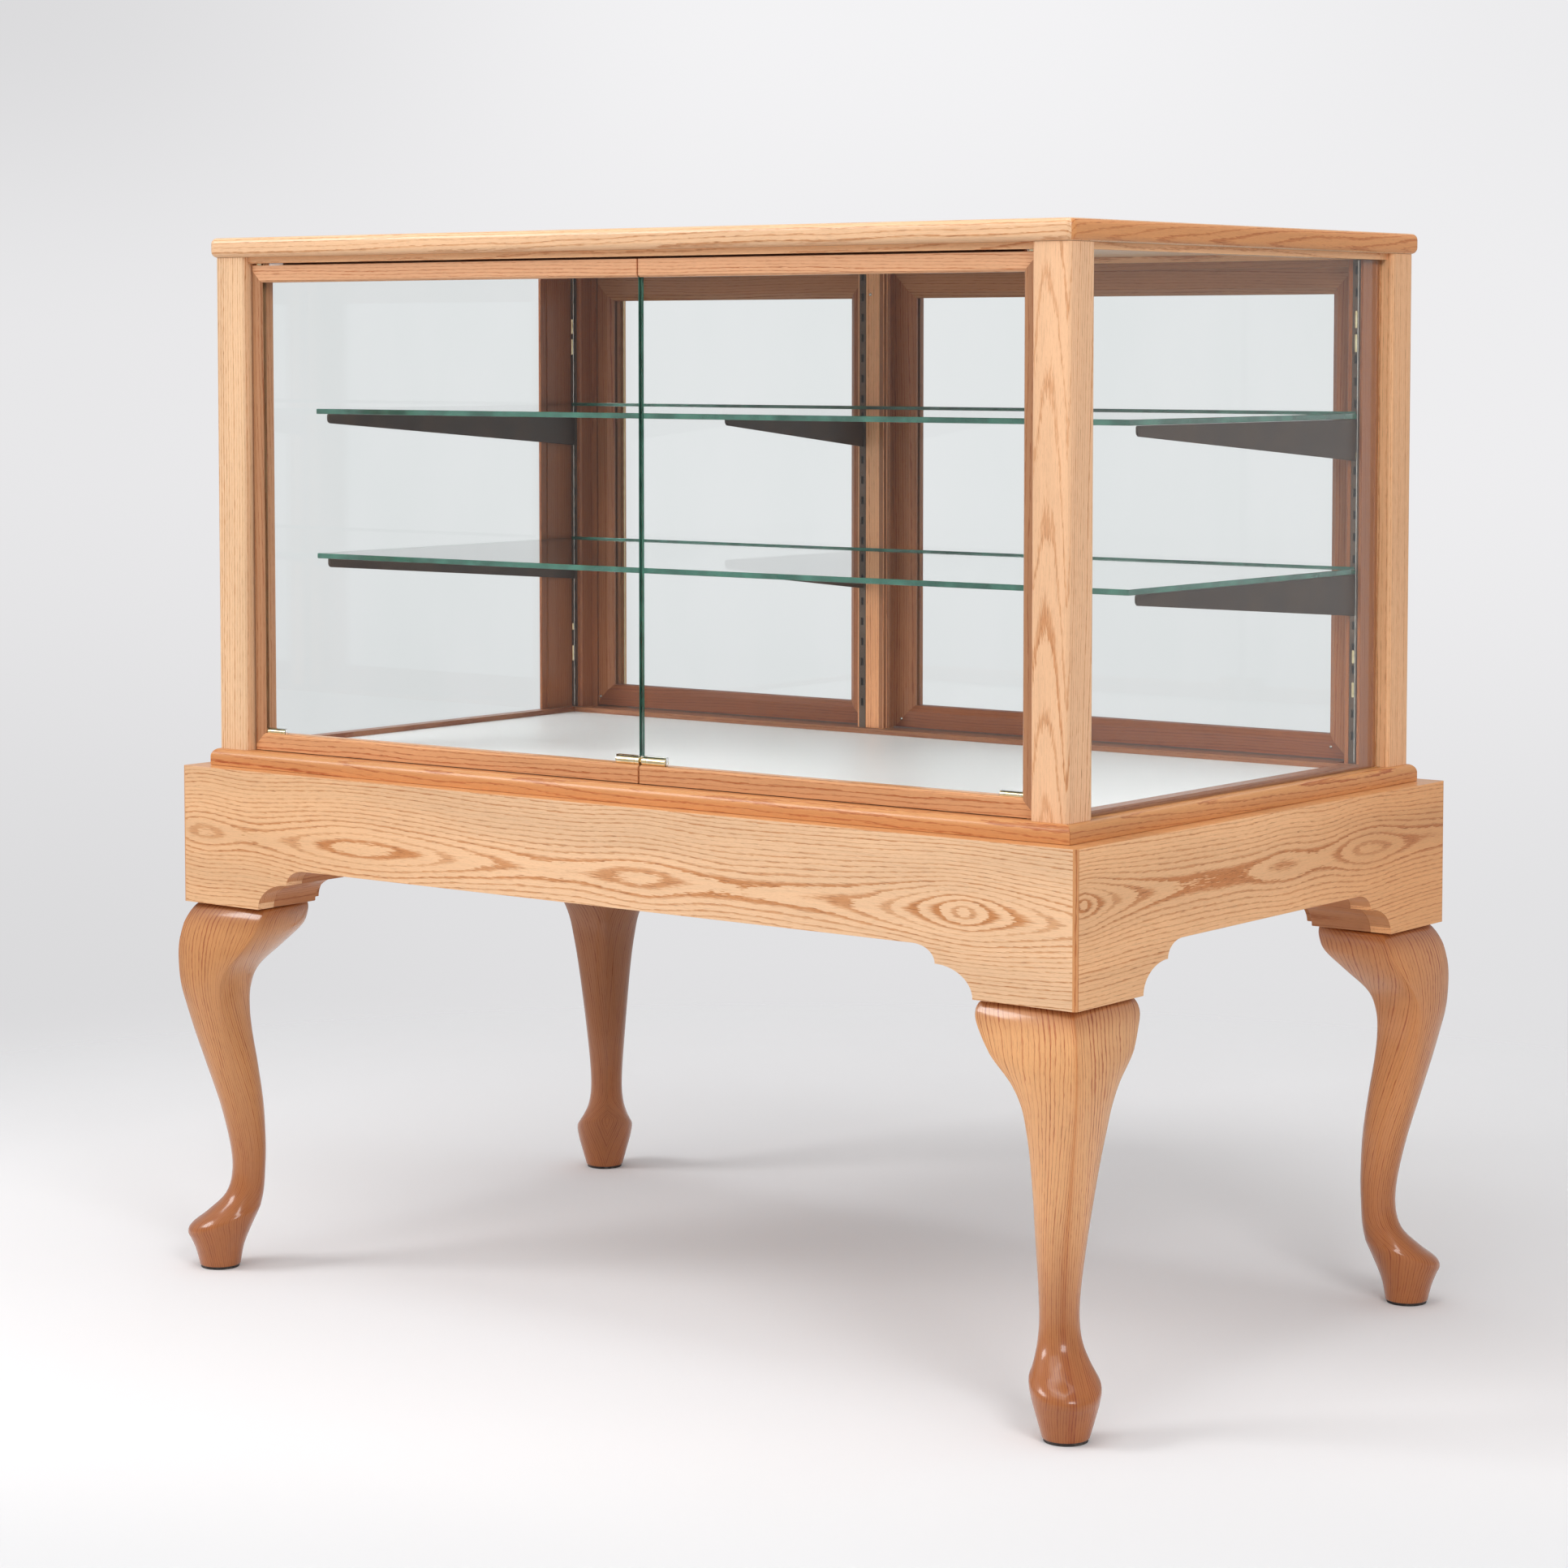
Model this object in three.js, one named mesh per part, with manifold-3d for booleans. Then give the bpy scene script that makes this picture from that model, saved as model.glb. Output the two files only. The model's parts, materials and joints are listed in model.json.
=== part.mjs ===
// A glass display counter: an oak and glass case on a stand with four cabriole legs.
// Millimetres, +Z up. X runs along the counter, the customer's side faces -Y.
// The origin is on the floor, under the middle of the stand.
import * as THREE from 'three';
import { mergeVertices } from 'three/addons/utils/BufferGeometryUtils.js';
import Module from 'manifold-3d';

const wasm = await Module();
wasm.setup();

// Stand
const standLength = 1219.2;
const standDepth = 739;
const legHeight = 425;
const apronHeight = 156;
const apronThickness = 25;
const bracketLand = 120;
const lowerCoveRun = 45;
const lowerCoveRise = 31;
const upperCoveRun = 27;
const upperCoveRise = 18;
const kneeWidth = 164;
const legPostSide = 57;
const glideHeight = 3;
const glideRadius = 22;
const glideChamfer = 0.8;

// Case
const mouldingInset = 22.5;
const mouldingWidth = 27.5;
const mouldingHeight = 19;
const mouldingRoundWidth = 8;
const mouldingRoundHeight = 9.5;
const paneGrooveDepth = 5;
const postInset = 30.5;
const postSide = 44;
const postHeight = 559;
const postArris = 4;
const topInset = 24.6;
const topThickness = 22;
const topRound = 7;
const topCorner = 9;
const headerHeight = 7;
const headerSetback = 8;
const headerWidth = 25;
const sillHeight = 6;
const sillWidth = 16;
const rearSillReach = 9;

// Glass
const paneThickness = 6;
const glassArris = 0.5;
const sidePaneInset = 10.5;

// Front doors
const frontSeamX = 34;
const frontSeamGap = 2.6;
const frontDoorSetback = 11;
const frontDoorThickness = 21;
const frontDoorSideGap = 4;
const frontDoorFloorGap = 1;
const frontStileWidth = 13;
const frontRailHeight = 19;
const frontPaneSetback = 4;
const frontBevel = 2.2;
const doorHeadGap = 2.5;
const pivotInset = 6;
const pinRadius = 2.5;
const pinLength = 8;
const pinCollarRadius = 4.5;
const pinClearance = 0.4;

// Barrel clamps on the front panes
const seamClampRadius = 5;
const seamClampLength = 32;
const cornerClampRadius = 3.6;
const cornerClampLength = 28;
const clampCollarShare = 0.18;
const clampNeckShare = 0.84;
const clampEdgeShare = 0.2;

// Rear frame and doors
const jambFace = 19.7;
const jambReach = 40;
const jambStep = 7.3;
const jambRound = 3;
const jambBackQuirkWidth = 3.5;
const jambBackQuirkDepth = 4;
const jambBeadWidth = 6.3;
const jambBeadRound = 1.5;
const jambQuirkWidth = 2;
const stopBoardReach = 57;
const stopBoardRoot = 5;
const stopBoardThickness = 3.7;
const stopBoardBead = 8.5;
const stopBoardQuirkWidth = 4;
const stopBoardQuirkDepth = 1.6;
const doorStopDepth = 22;
const mullionX = -92;
const mullionWidth = 37.6;
const mullionReach = 18;
const mullionBeadSetback = 9.5;
const mullionBeadRadius = 3.2;
const rearDoorThickness = 21;
const rearDoorSideGap = 2;
const rearSeamGap = 3;
const rearDoorFloorGap = 1.6;
const hingeStileWidth = 22;
const meetingStileWidth = 46;
const rearTopRail = 34;
const rearBottomRail = 26;
const rearBevelWidth = 7;
const rearBevelDepth = 5;
const rearPaneSetback = 8;
const gripChamfer = 7;

// Rear door hinges
const hingeRadius = 2.7;
const hingePinRadius = 1.4;
const hingeLeafWidth = 22;
const hingeLeafThickness = 1.5;
const hingeEndMargin = 20;
const hingeKnuckles = 7;
const knuckleGap = 0.4;
const hingeBoreClearance = 0.3;
const barrelSides = 10;

// Shelves, standards and brackets
const shelfThickness = 6;
const shelfFrontY = -200;
const shelfSideGap = 6.5;
const shelfBackGap = 1.5;
const standardWidth = 9;
const standardDepth = 4;
const standardWall = 1.4;
const standardSetback = 4;
const standardLip = 2.2;
const slotPitch = 24;
const slotHeight = 9;
const firstSlotRise = 26;
const lowerShelfSlot = 7;
const upperShelfSlot = 14;
const bracketThickness = 3;
const bracketNose = 11;
const bracketNoseRound = 5;
const bracketTopRound = 2;
const sideBracketHeel = 45;
const midBracketHeel = 40;
const sideBracketTipY = -184;
const midBracketTipY = -6;
const bracketHead = 12;
const hookHeight = 6;
const hookDrop = 2.5;

// Clearances
const jointGap = 0.1;
const seatGap = 0.3;
const cutOverrun = 1;

// Places that follow from the sizes
const halfLength = standLength / 2;
const halfDepth = standDepth / 2;
const apronTop = legHeight + apronHeight;
const deckTop = apronTop + mouldingHeight;
const caseTop = deckTop + postHeight;
const headerBottom = caseTop - headerHeight;
const sillTop = deckTop + sillHeight;
const postOuterX = halfLength - postInset;
const postOuterY = halfDepth - postInset;
const postInnerX = postOuterX - postSide;
const postInnerY = postOuterY - postSide;
const paneOuterX = postOuterX - sidePaneInset;
const paneInnerX = paneOuterX - paneThickness;
const jambOuterX = paneInnerX - seatGap;
const jambInnerX = jambOuterX - jambFace;
const jambFrontY = postInnerY - jambReach;
const doorStopY = jambFrontY + doorStopDepth;
const doorTop = headerBottom - doorHeadGap;

const finishes = {
  oak: { color: 0xc8915c, roughness: 0.5, metalness: 0 },
  glass: { color: 0xcfe3dc, roughness: 0.05, metalness: 0, transparent: true, opacity: 0.35 },
  laminate: { color: 0xeeeef0, roughness: 0.35, metalness: 0 },
  bronze: { color: 0x4a433b, roughness: 0.45, metalness: 0.6 },
  brass: { color: 0xd9c489, roughness: 0.2, metalness: 1 },
  rubber: { color: 0x2a2523, roughness: 0.7, metalness: 0 },
};

const counter = new THREE.Group();

// Adds one named piece with a material of its own.
function add(name, geometry, finish, parent = counter) {
  const mesh = new THREE.Mesh(geometry, new THREE.MeshStandardMaterial(finishes[finish]));
  mesh.name = name;
  parent.add(mesh);
  return mesh;
}

// Geometry helpers

function box(x0, x1, y0, y1, z0, z1) {
  const shape = new THREE.BoxGeometry(x1 - x0, y1 - y0, z1 - z0);
  return shape.translate((x0 + x1) / 2, (y0 + y1) / 2, (z0 + z1) / 2);
}

function outline(points) {
  return new THREE.Shape(points.map(([x, y]) => new THREE.Vector2(x, y)));
}

// An outline in X and Y, extruded up from z0 to z1.
function upright(shape, z0, z1, segments = 4) {
  const solid = new THREE.ExtrudeGeometry(shape, {
    depth: z1 - z0, bevelEnabled: false, curveSegments: segments,
  });
  return solid.translate(0, 0, z0);
}

// An outline in X and Z, extruded from y0 to y1.
function crosswise(shape, y0, y1, segments = 6) {
  const solid = new THREE.ExtrudeGeometry(shape, {
    depth: y1 - y0, bevelEnabled: false, curveSegments: segments,
  });
  return solid.rotateX(Math.PI / 2).translate(0, y1, 0);
}

// A sheet of glass from an outline, with small arrises on its edges.
function sheet(shape, thickness) {
  const flat = new THREE.ExtrudeGeometry(shape, {
    depth: thickness - 2 * glassArris,
    bevelEnabled: true,
    bevelThickness: glassArris,
    bevelSize: glassArris,
    bevelOffset: -glassArris,
    bevelSegments: 1,
    curveSegments: 1,
  });
  return flat.translate(0, 0, glassArris);
}

// Skins a row of sections with the same number of points, as an open bar with two end
// caps or as a closed ring. The caps are triangulated in the plane given by flatten.
function skin(sections, flatten, ring = false) {
  const count = sections[0].length;
  const positions = sections.flat().flatMap((p) => [p.x, p.y, p.z]);
  const faces = [];
  const spans = ring ? sections.length : sections.length - 1;
  for (let s = 0; s < spans; s += 1) {
    const here = s * count;
    const there = ((s + 1) % sections.length) * count;
    for (let i = 0; i < count; i += 1) {
      const j = (i + 1) % count;
      faces.push(here + i, here + j, there + j, here + i, there + j, there + i);
    }
  }
  if (!ring) {
    const last = (sections.length - 1) * count;
    for (const [start, section] of [[0, sections[0]], [last, sections.at(-1)]]) {
      const flat = section.map(flatten);
      const cap = THREE.ShapeUtils.triangulateShape(flat, []);
      const clockwise = THREE.ShapeUtils.isClockWise(flat);
      for (const [a, b, c] of cap) {
        const turned = (start === 0) !== clockwise;
        faces.push(start + a, start + (turned ? c : b), start + (turned ? b : c));
      }
    }
  }
  const solid = new THREE.BufferGeometry();
  solid.setAttribute('position', new THREE.Float32BufferAttribute(positions, 3));
  solid.setIndex(faces);
  return outward(solid);
}

// Turns every face round where a solid was wound, or mirrored, inside out.
function outward(solid) {
  const place = solid.getAttribute('position');
  const index = solid.getIndex();
  const corner = (i) => new THREE.Vector3().fromBufferAttribute(place, index.getX(i));
  let volume = 0;
  for (let i = 0; i < index.count; i += 3) {
    volume += corner(i).dot(corner(i + 1).cross(corner(i + 2)));
  }
  if (volume < 0) {
    for (let i = 0; i < index.count; i += 3) {
      const second = index.getX(i + 1);
      index.setX(i + 1, index.getX(i + 2));
      index.setX(i + 2, second);
    }
  }
  return solid;
}

function mirrored(geometry, x, y) {
  return outward(mergeVertices(geometry.clone().scale(x, y, 1)));
}

// Boolean work

function toSolid(geometry) {
  const plain = geometry.clone();
  plain.deleteAttribute('normal');
  plain.deleteAttribute('uv');
  const merged = mergeVertices(plain);
  return new wasm.Manifold(new wasm.Mesh({
    numProp: 3,
    vertProperties: Float32Array.from(merged.getAttribute('position').array),
    triVerts: Uint32Array.from(merged.getIndex().array),
  }));
}

function fromSolid(solid) {
  const mesh = solid.getMesh();
  const geometry = new THREE.BufferGeometry();
  geometry.setAttribute('position', new THREE.BufferAttribute(mesh.vertProperties, 3));
  geometry.setIndex(new THREE.BufferAttribute(mesh.triVerts, 1));
  return geometry;
}

function joined(geometries) {
  const solids = geometries.map(toSolid);
  return fromSolid(solids.reduce((whole, piece) => whole.add(piece)));
}

function cutBy(geometry, tools) {
  const solids = tools.map(toSolid);
  return fromSolid(solids.reduce((whole, tool) => whole.subtract(tool), toSolid(geometry)));
}

// The four sides of the stand: x runs along the side and y runs inward from its face.
const sides = [
  { name: 'front', length: standLength, reach: halfDepth, turn: 0 },
  { name: 'right', length: standDepth, reach: halfLength, turn: Math.PI / 2 },
  { name: 'back', length: standLength, reach: halfDepth, turn: Math.PI },
  { name: 'left', length: standDepth, reach: halfLength, turn: -Math.PI / 2 },
];

function sideGroup(side) {
  const group = new THREE.Group();
  group.rotation.z = side.turn;
  group.position.set(side.reach * Math.sin(side.turn), -side.reach * Math.cos(side.turn), 0);
  counter.add(group);
  return group;
}

// Aprons: mitred boards whose lower edge steps up in two coves from each corner.
function apronOutline(half) {
  const shape = new THREE.Shape();
  const lowerStart = half - bracketLand;
  const upperStart = lowerStart - lowerCoveRun;
  const archEnd = upperStart - upperCoveRun;
  const archRise = lowerCoveRise + upperCoveRise;
  const quarter = Math.PI / 2;
  shape.moveTo(half, 0);
  shape.lineTo(half, apronHeight);
  shape.lineTo(-half, apronHeight);
  shape.lineTo(-half, 0);
  shape.lineTo(-lowerStart, 0);
  shape.absellipse(-upperStart, 0, lowerCoveRun, lowerCoveRise, 2 * quarter, quarter, true);
  shape.absellipse(-archEnd, lowerCoveRise, upperCoveRun, upperCoveRise, 2 * quarter, quarter, true);
  shape.lineTo(archEnd, archRise);
  shape.absellipse(archEnd, lowerCoveRise, upperCoveRun, upperCoveRise, quarter, 0, true);
  shape.absellipse(upperStart, 0, lowerCoveRun, lowerCoveRise, quarter, 0, true);
  shape.lineTo(half, 0);
  return shape;
}

function apronBoard(length) {
  const half = length / 2;
  const board = crosswise(apronOutline(half), 0, apronThickness);
  const place = board.getAttribute('position');
  for (let i = 0; i < place.count; i += 1) {
    const x = place.getX(i);
    if (Math.abs(x) > half - seatGap) {
      place.setX(i, Math.sign(x) * (half - place.getY(i) - jointGap));
    }
  }
  return board.translate(0, 0, legHeight);
}

for (const side of sides) {
  add(`apron_${side.name}`, apronBoard(side.length), 'oak', sideGroup(side));
}

// Base moulding: mitred lengths whose front edge rounds up to the foot of the posts.
function mouldingProfile(grooveInset) {
  const nose = new THREE.Path();
  const top = mouldingHeight - jointGap;
  nose.moveTo(0, 0);
  nose.lineTo(0, top - mouldingRoundHeight);
  nose.absellipse(
    mouldingRoundWidth, top - mouldingRoundHeight, mouldingRoundWidth, mouldingRoundHeight,
    Math.PI, Math.PI / 2, true,
  );
  const points = nose.getPoints(7);
  if (grooveInset > 0) {
    const low = top - paneGrooveDepth;
    const far = grooveInset + paneThickness + 2 * seatGap;
    points.push(new THREE.Vector2(grooveInset, top), new THREE.Vector2(grooveInset, low));
    points.push(new THREE.Vector2(far, low), new THREE.Vector2(far, top));
  }
  points.push(new THREE.Vector2(mouldingWidth, top), new THREE.Vector2(mouldingWidth, 0));
  return points;
}

function mouldingLength(side) {
  const isEnd = side.reach === halfLength;
  const paneInset = halfLength - mouldingInset - paneOuterX - seatGap;
  const profile = mouldingProfile(isEnd ? paneInset : 0);
  const half = side.length / 2 - mouldingInset - jointGap;
  const sections = [-1, 1].map((end) => profile.map((p) => new THREE.Vector3(
    end * (half - p.x),
    mouldingInset + p.x,
    apronTop + jointGap + p.y,
  )));
  return skin(sections, (p) => new THREE.Vector2(p.y, p.z));
}

for (const side of sides) {
  add(`base_moulding_${side.name}`, mouldingLength(side), 'oak', sideGroup(side));
}

// Legs: one cabriole form, lofted up a list of stations. Each row gives the height of the
// section's middle, then its outer edge, inner edge, width and tilt, then how much of its
// depth lies outside its widest line, and how round it is outside and inside.
// Heights and tilts are shares of the leg's height. The rest are shares of the knee's
// width, with the edges measured out along the diagonal from the corner of the apron.
const upperLegShares = [
  [0.9988, -0.134, -0.829, 0.85, 0, 0.6, 1.15, 1.6],
  [0.991, -0.091, -0.86, 0.945, 0, 0.6, 1.15, 1.6],
  [0.965, -0.035, -0.86, 1, 0, 0.6, 1.17, 1.6],
  [0.929, 0.01, -0.82, 0.965, 0, 0.6, 1.2, 1.65],
  [0.878, 0.036, -0.68, 0.86, 0, 0.6, 1.23, 1.75],
  [0.821, 0.036, -0.52, 0.66, 0, 0.58, 1.28, 1.85],
  [0.767, 0.02, -0.462, 0.545, 0, 0.55, 1.36, 1.9],
  [0.706, -0.022, -0.452, 0.48, 0, 0.53, 1.46, 1.95],
  [0.638, -0.074, -0.468, 0.424, 0, 0.52, 1.6, 2],
  [0.546, -0.152, -0.506, 0.366, 0, 0.5, 1.8, 2],
  [0.435, -0.244, -0.543, 0.305, 0, 0.5, 1.95, 2],
  [0.325, -0.308, -0.555, 0.254, 0, 0.5, 2, 2],
  [0.252, -0.317, -0.549, 0.243, 0.002, 0.5, 2, 2],
  [0.202, -0.27, -0.542, 0.274, 0.01, 0.5, 2, 2],
  [0.165, -0.14, -0.532, 0.335, 0.021, 0.5, 2, 2],
  [0.141, -0.035, -0.522, 0.39, 0.028, 0.5, 2, 2],
  [0.122, -0.008, -0.51, 0.43, 0.031, 0.5, 2, 2],
];
const footShares = [
  [0.122, -0.008, -0.51, 0.43, 0.031, 0.5, 2, 2],
  [0.09, -0.034, -0.46, 0.41, 0.021, 0.5, 2, 2],
  [0.047, -0.064, -0.4, 0.352, 0.007, 0.5, 2, 2],
  [0, -0.09, -0.372, 0.282, 0, 0.5, 2, 2],
];
const legRingPoints = 18;

// One row of stations, eased smoothly between its neighbours.
function stationAt(rows, at) {
  const i = Math.min(Math.floor(at), rows.length - 2);
  const t = at - i;
  const before = rows[Math.max(i - 1, 0)];
  const after = rows[Math.min(i + 2, rows.length - 1)];
  return rows[i].map((value, k) => {
    const next = rows[i + 1][k];
    const slopeIn = (next - before[k]) / 2;
    const slopeOut = (after[k] - value) / 2;
    const bend = 2 * (value - next) + slopeIn + slopeOut;
    const curve = 3 * (next - value) - 2 * slopeIn - slopeOut;
    return value + t * (slopeIn + t * (curve + t * bend));
  });
}

function legRing(row) {
  const [rise, outer, inner, width, tilt, front, outerRound, innerRound] = row;
  const depth = (outer - inner) * kneeWidth;
  const middle = ((outer + inner) / 2) * kneeWidth;
  const widest = outer * kneeWidth - front * depth;
  const floor = glideHeight + jointGap;
  const tallness = legHeight - floor;
  const ring = [];
  for (let i = 0; i < legRingPoints; i += 1) {
    const angle = (2 * Math.PI * i) / legRingPoints;
    const c = Math.cos(angle);
    const s = Math.sin(angle);
    const power = 2 / (c > 0 ? outerRound : innerRound);
    const along = c > 0 ? front * depth : (1 - front) * depth;
    const out = widest + Math.sign(c) * Math.abs(c) ** power * along;
    const across = Math.sign(s) * Math.abs(s) ** power * width * kneeWidth / 2;
    const lean = (2 * tilt * tallness * (middle - out)) / depth;
    ring.push(new THREE.Vector3(
      (out + across) / Math.SQRT2,
      (out - across) / Math.SQRT2,
      floor + rise * tallness + lean,
    ));
  }
  return ring;
}

function legForm() {
  const rings = [];
  const upperSteps = 2 * (upperLegShares.length - 1);
  for (let i = 0; i <= upperSteps; i += 1) {
    rings.push(legRing(stationAt(upperLegShares, i / 2)));
  }
  for (let i = 1; i < footShares.length; i += 1) {
    rings.push(legRing(footShares[i]));
  }
  const form = skin(rings, (p) => new THREE.Vector2(p.x, p.y));
  const near = -(apronThickness + seatGap);
  const far = near - legPostSide;
  const post = box(far, near, far, near, legHeight - lowerCoveRun, apronTop);
  return joined([form, post]);
}

const corners = [
  { name: 'front_left', x: -1, y: -1, turn: Math.PI },
  { name: 'front_right', x: 1, y: -1, turn: -Math.PI / 2 },
  { name: 'back_right', x: 1, y: 1, turn: 0 },
  { name: 'back_left', x: -1, y: 1, turn: Math.PI / 2 },
];

function glideForm() {
  const profile = [
    [0, 0],
    [glideRadius - glideChamfer, 0],
    [glideRadius, glideChamfer],
    [glideRadius, glideHeight],
    [0, glideHeight],
  ];
  return new THREE.LatheGeometry(profile.map(([r, z]) => new THREE.Vector2(r, z)), 20);
}

const footRow = footShares.at(-1);
const footReach = ((footRow[1] + footRow[2]) / 2) * kneeWidth;
for (const corner of corners) {
  const place = new THREE.Group();
  place.position.set(corner.x * halfLength, corner.y * halfDepth, 0);
  place.rotation.z = corner.turn;
  counter.add(place);
  add(`leg_${corner.name}`, legForm(), 'oak', place);
  const glide = add(`glide_${corner.name}`, glideForm().rotateX(Math.PI / 2), 'rubber', place);
  glide.position.set(footReach / Math.SQRT2, footReach / Math.SQRT2, 0);
}

// Deck: the white display floor, let in between the base mouldings.
const deckInset = mouldingInset + mouldingWidth + jointGap + seatGap;
add('deck', box(
  deckInset - halfLength, halfLength - deckInset,
  deckInset - halfDepth, halfDepth - deckInset,
  apronTop + jointGap, deckTop - jointGap,
), 'laminate');

// Posts: square with rounded arrises and a groove for the side pane.
function postOutline() {
  const half = postSide / 2;
  const shape = new THREE.Shape();
  const grooveNear = paneOuterX + seatGap - (postOuterX - half);
  const grooveFar = paneInnerX - seatGap - (postOuterX - half);
  const r = postArris;
  shape.moveTo(-half + r, -half);
  shape.absarc(half - r, -half + r, r, -Math.PI / 2, 0, false);
  shape.absarc(half - r, half - r, r, 0, Math.PI / 2, false);
  shape.lineTo(grooveNear, half);
  shape.lineTo(grooveNear, half - paneGrooveDepth - seatGap);
  shape.lineTo(grooveFar, half - paneGrooveDepth - seatGap);
  shape.lineTo(grooveFar, half);
  shape.absarc(-half + r, half - r, r, Math.PI / 2, Math.PI, false);
  shape.absarc(-half + r, -half + r, r, Math.PI, 1.5 * Math.PI, false);
  return shape;
}

for (const corner of corners) {
  const form = upright(postOutline(), deckTop + jointGap, caseTop - jointGap);
  const post = mirrored(form, corner.x, -corner.y);
  add(`post_${corner.name}`, post, 'oak').position.set(
    corner.x * (postOuterX - postSide / 2),
    corner.y * (postOuterY - postSide / 2),
    0,
  );
}

// Top: a solid slab with rounded edges and corners.
function topSlab() {
  const x = halfLength - topInset - topRound;
  const y = halfDepth - topInset - topRound;
  const r = topCorner - topRound;
  const shape = new THREE.Shape();
  shape.moveTo(-x + r, -y);
  shape.absarc(x - r, -y + r, r, -Math.PI / 2, 0, false);
  shape.absarc(x - r, y - r, r, 0, Math.PI / 2, false);
  shape.absarc(-x + r, y - r, r, Math.PI / 2, Math.PI, false);
  shape.absarc(-x + r, -y + r, r, Math.PI, 1.5 * Math.PI, false);
  const slab = new THREE.ExtrudeGeometry(shape, {
    depth: topThickness - 2 * topRound,
    bevelEnabled: true,
    bevelThickness: topRound,
    bevelSize: topRound,
    bevelSegments: 4,
    curveSegments: 4,
  });
  return slab.translate(0, 0, caseTop + topRound);
}
add('case_top', topSlab(), 'oak');

// Header: the frame under the top that passes inside the four posts.
const headerOuterX = postOuterX - headerSetback;
const headerOuterY = postOuterY - headerSetback;
const headerInnerX = headerOuterX - headerWidth;
const headerFrontY = -(postInnerY - headerWidth / 2);

function headerOutline() {
  const notchX = postInnerX - seatGap;
  const notchY = postInnerY - seatGap;
  const shape = outline([
    [-notchX, -headerOuterY], [notchX, -headerOuterY], [notchX, -notchY],
    [headerOuterX, -notchY], [headerOuterX, notchY], [notchX, notchY],
    [notchX, headerOuterY], [-notchX, headerOuterY], [-notchX, notchY],
    [-headerOuterX, notchY], [-headerOuterX, -notchY], [-notchX, -notchY],
  ]);
  shape.holes.push(outline([
    [-headerInnerX, headerFrontY], [-headerInnerX, jambFrontY],
    [headerInnerX, jambFrontY], [headerInnerX, headerFrontY],
  ]));
  return shape;
}

const sidePaneTop = headerBottom + paneGrooveDepth - seatGap;
const sidePaneEndY = postInnerY + paneGrooveDepth;
function paneGroove(side) {
  const near = side * (paneOuterX + seatGap);
  const far = side * (paneInnerX - seatGap);
  return box(
    Math.min(near, far), Math.max(near, far), -postInnerY, postInnerY,
    headerBottom - cutOverrun, sidePaneTop + seatGap,
  );
}
add('header_frame', cutBy(
  upright(headerOutline(), headerBottom, caseTop - jointGap),
  [paneGroove(-1), paneGroove(1)],
), 'oak');

// Sill: the low frame on the deck inside the side panes and under the rear doors.
const sillInnerX = jambOuterX - sillWidth;
const sillBackY = doorStopY + rearDoorThickness;
const jambBackX = jambInnerX - jambStep;
function sillOutline() {
  const frontY = -(postInnerY - seatGap);
  const splitY = jambFrontY - seatGap;
  const innerY = jambFrontY - rearSillReach;
  const rearX = jambBackX - seatGap;
  return outline([
    [-jambOuterX, frontY], [-sillInnerX, frontY], [-sillInnerX, innerY],
    [sillInnerX, innerY], [sillInnerX, frontY], [jambOuterX, frontY],
    [jambOuterX, splitY], [rearX, splitY], [rearX, sillBackY],
    [-rearX, sillBackY], [-rearX, splitY], [-jambOuterX, splitY],
  ]);
}
add('sill_frame', upright(sillOutline(), deckTop, sillTop), 'oak');

// Side panes, held in the grooves of the posts, the moulding and the header.
const sidePaneBottom = deckTop - paneGrooveDepth + seatGap;
for (const [name, side] of [['left', -1], ['right', 1]]) {
  const shape = outline([
    [sidePaneBottom, -sidePaneEndY], [sidePaneTop, -sidePaneEndY],
    [sidePaneTop, sidePaneEndY], [sidePaneBottom, sidePaneEndY],
  ]);
  const pane = sheet(shape, paneThickness).rotateY(-Math.PI / 2);
  pane.translate(side > 0 ? paneOuterX : -paneInnerX, 0, 0);
  add(`side_glass_${name}`, pane, 'glass');
}

// Jambs and mullion of the rear frame, which the rear doors close against. A groove in the
// front of each takes a standard, whose centre lies at the given place.
const standardX = jambOuterX - standardSetback - standardWidth / 2;
const mullionLeft = mullionX - mullionReach;
const mullionRight = mullionLeft + mullionWidth;
const midStandardX = mullionLeft + standardLip + standardWidth / 2;

function standardGroove(centreX) {
  const half = standardWidth / 2 + seatGap;
  const deep = jambFrontY + standardDepth + seatGap;
  return [
    [centreX - half, jambFrontY], [centreX - half, deep],
    [centreX + half, deep], [centreX + half, jambFrontY],
  ];
}

// A small bead along the outer edge of the jamb, between two quirks.
function jambBead(backY) {
  const end = backY - jambBackQuirkWidth;
  const start = end - jambBeadWidth;
  const edge = jambOuterX - jambBeadRound;
  const bead = new THREE.Path();
  bead.absarc(edge, start + jambBeadRound, jambBeadRound, -Math.PI / 2, 0, false);
  bead.absarc(edge, end - jambBeadRound, jambBeadRound, 0, Math.PI / 2, false);
  return [
    [jambOuterX, start - jambQuirkWidth], [edge, start - jambQuirkWidth],
    ...bead.getPoints(2).map((p) => [p.x, p.y]),
    [jambOuterX - jambBackQuirkDepth, end], [jambOuterX - jambBackQuirkDepth, backY],
  ];
}

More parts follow.
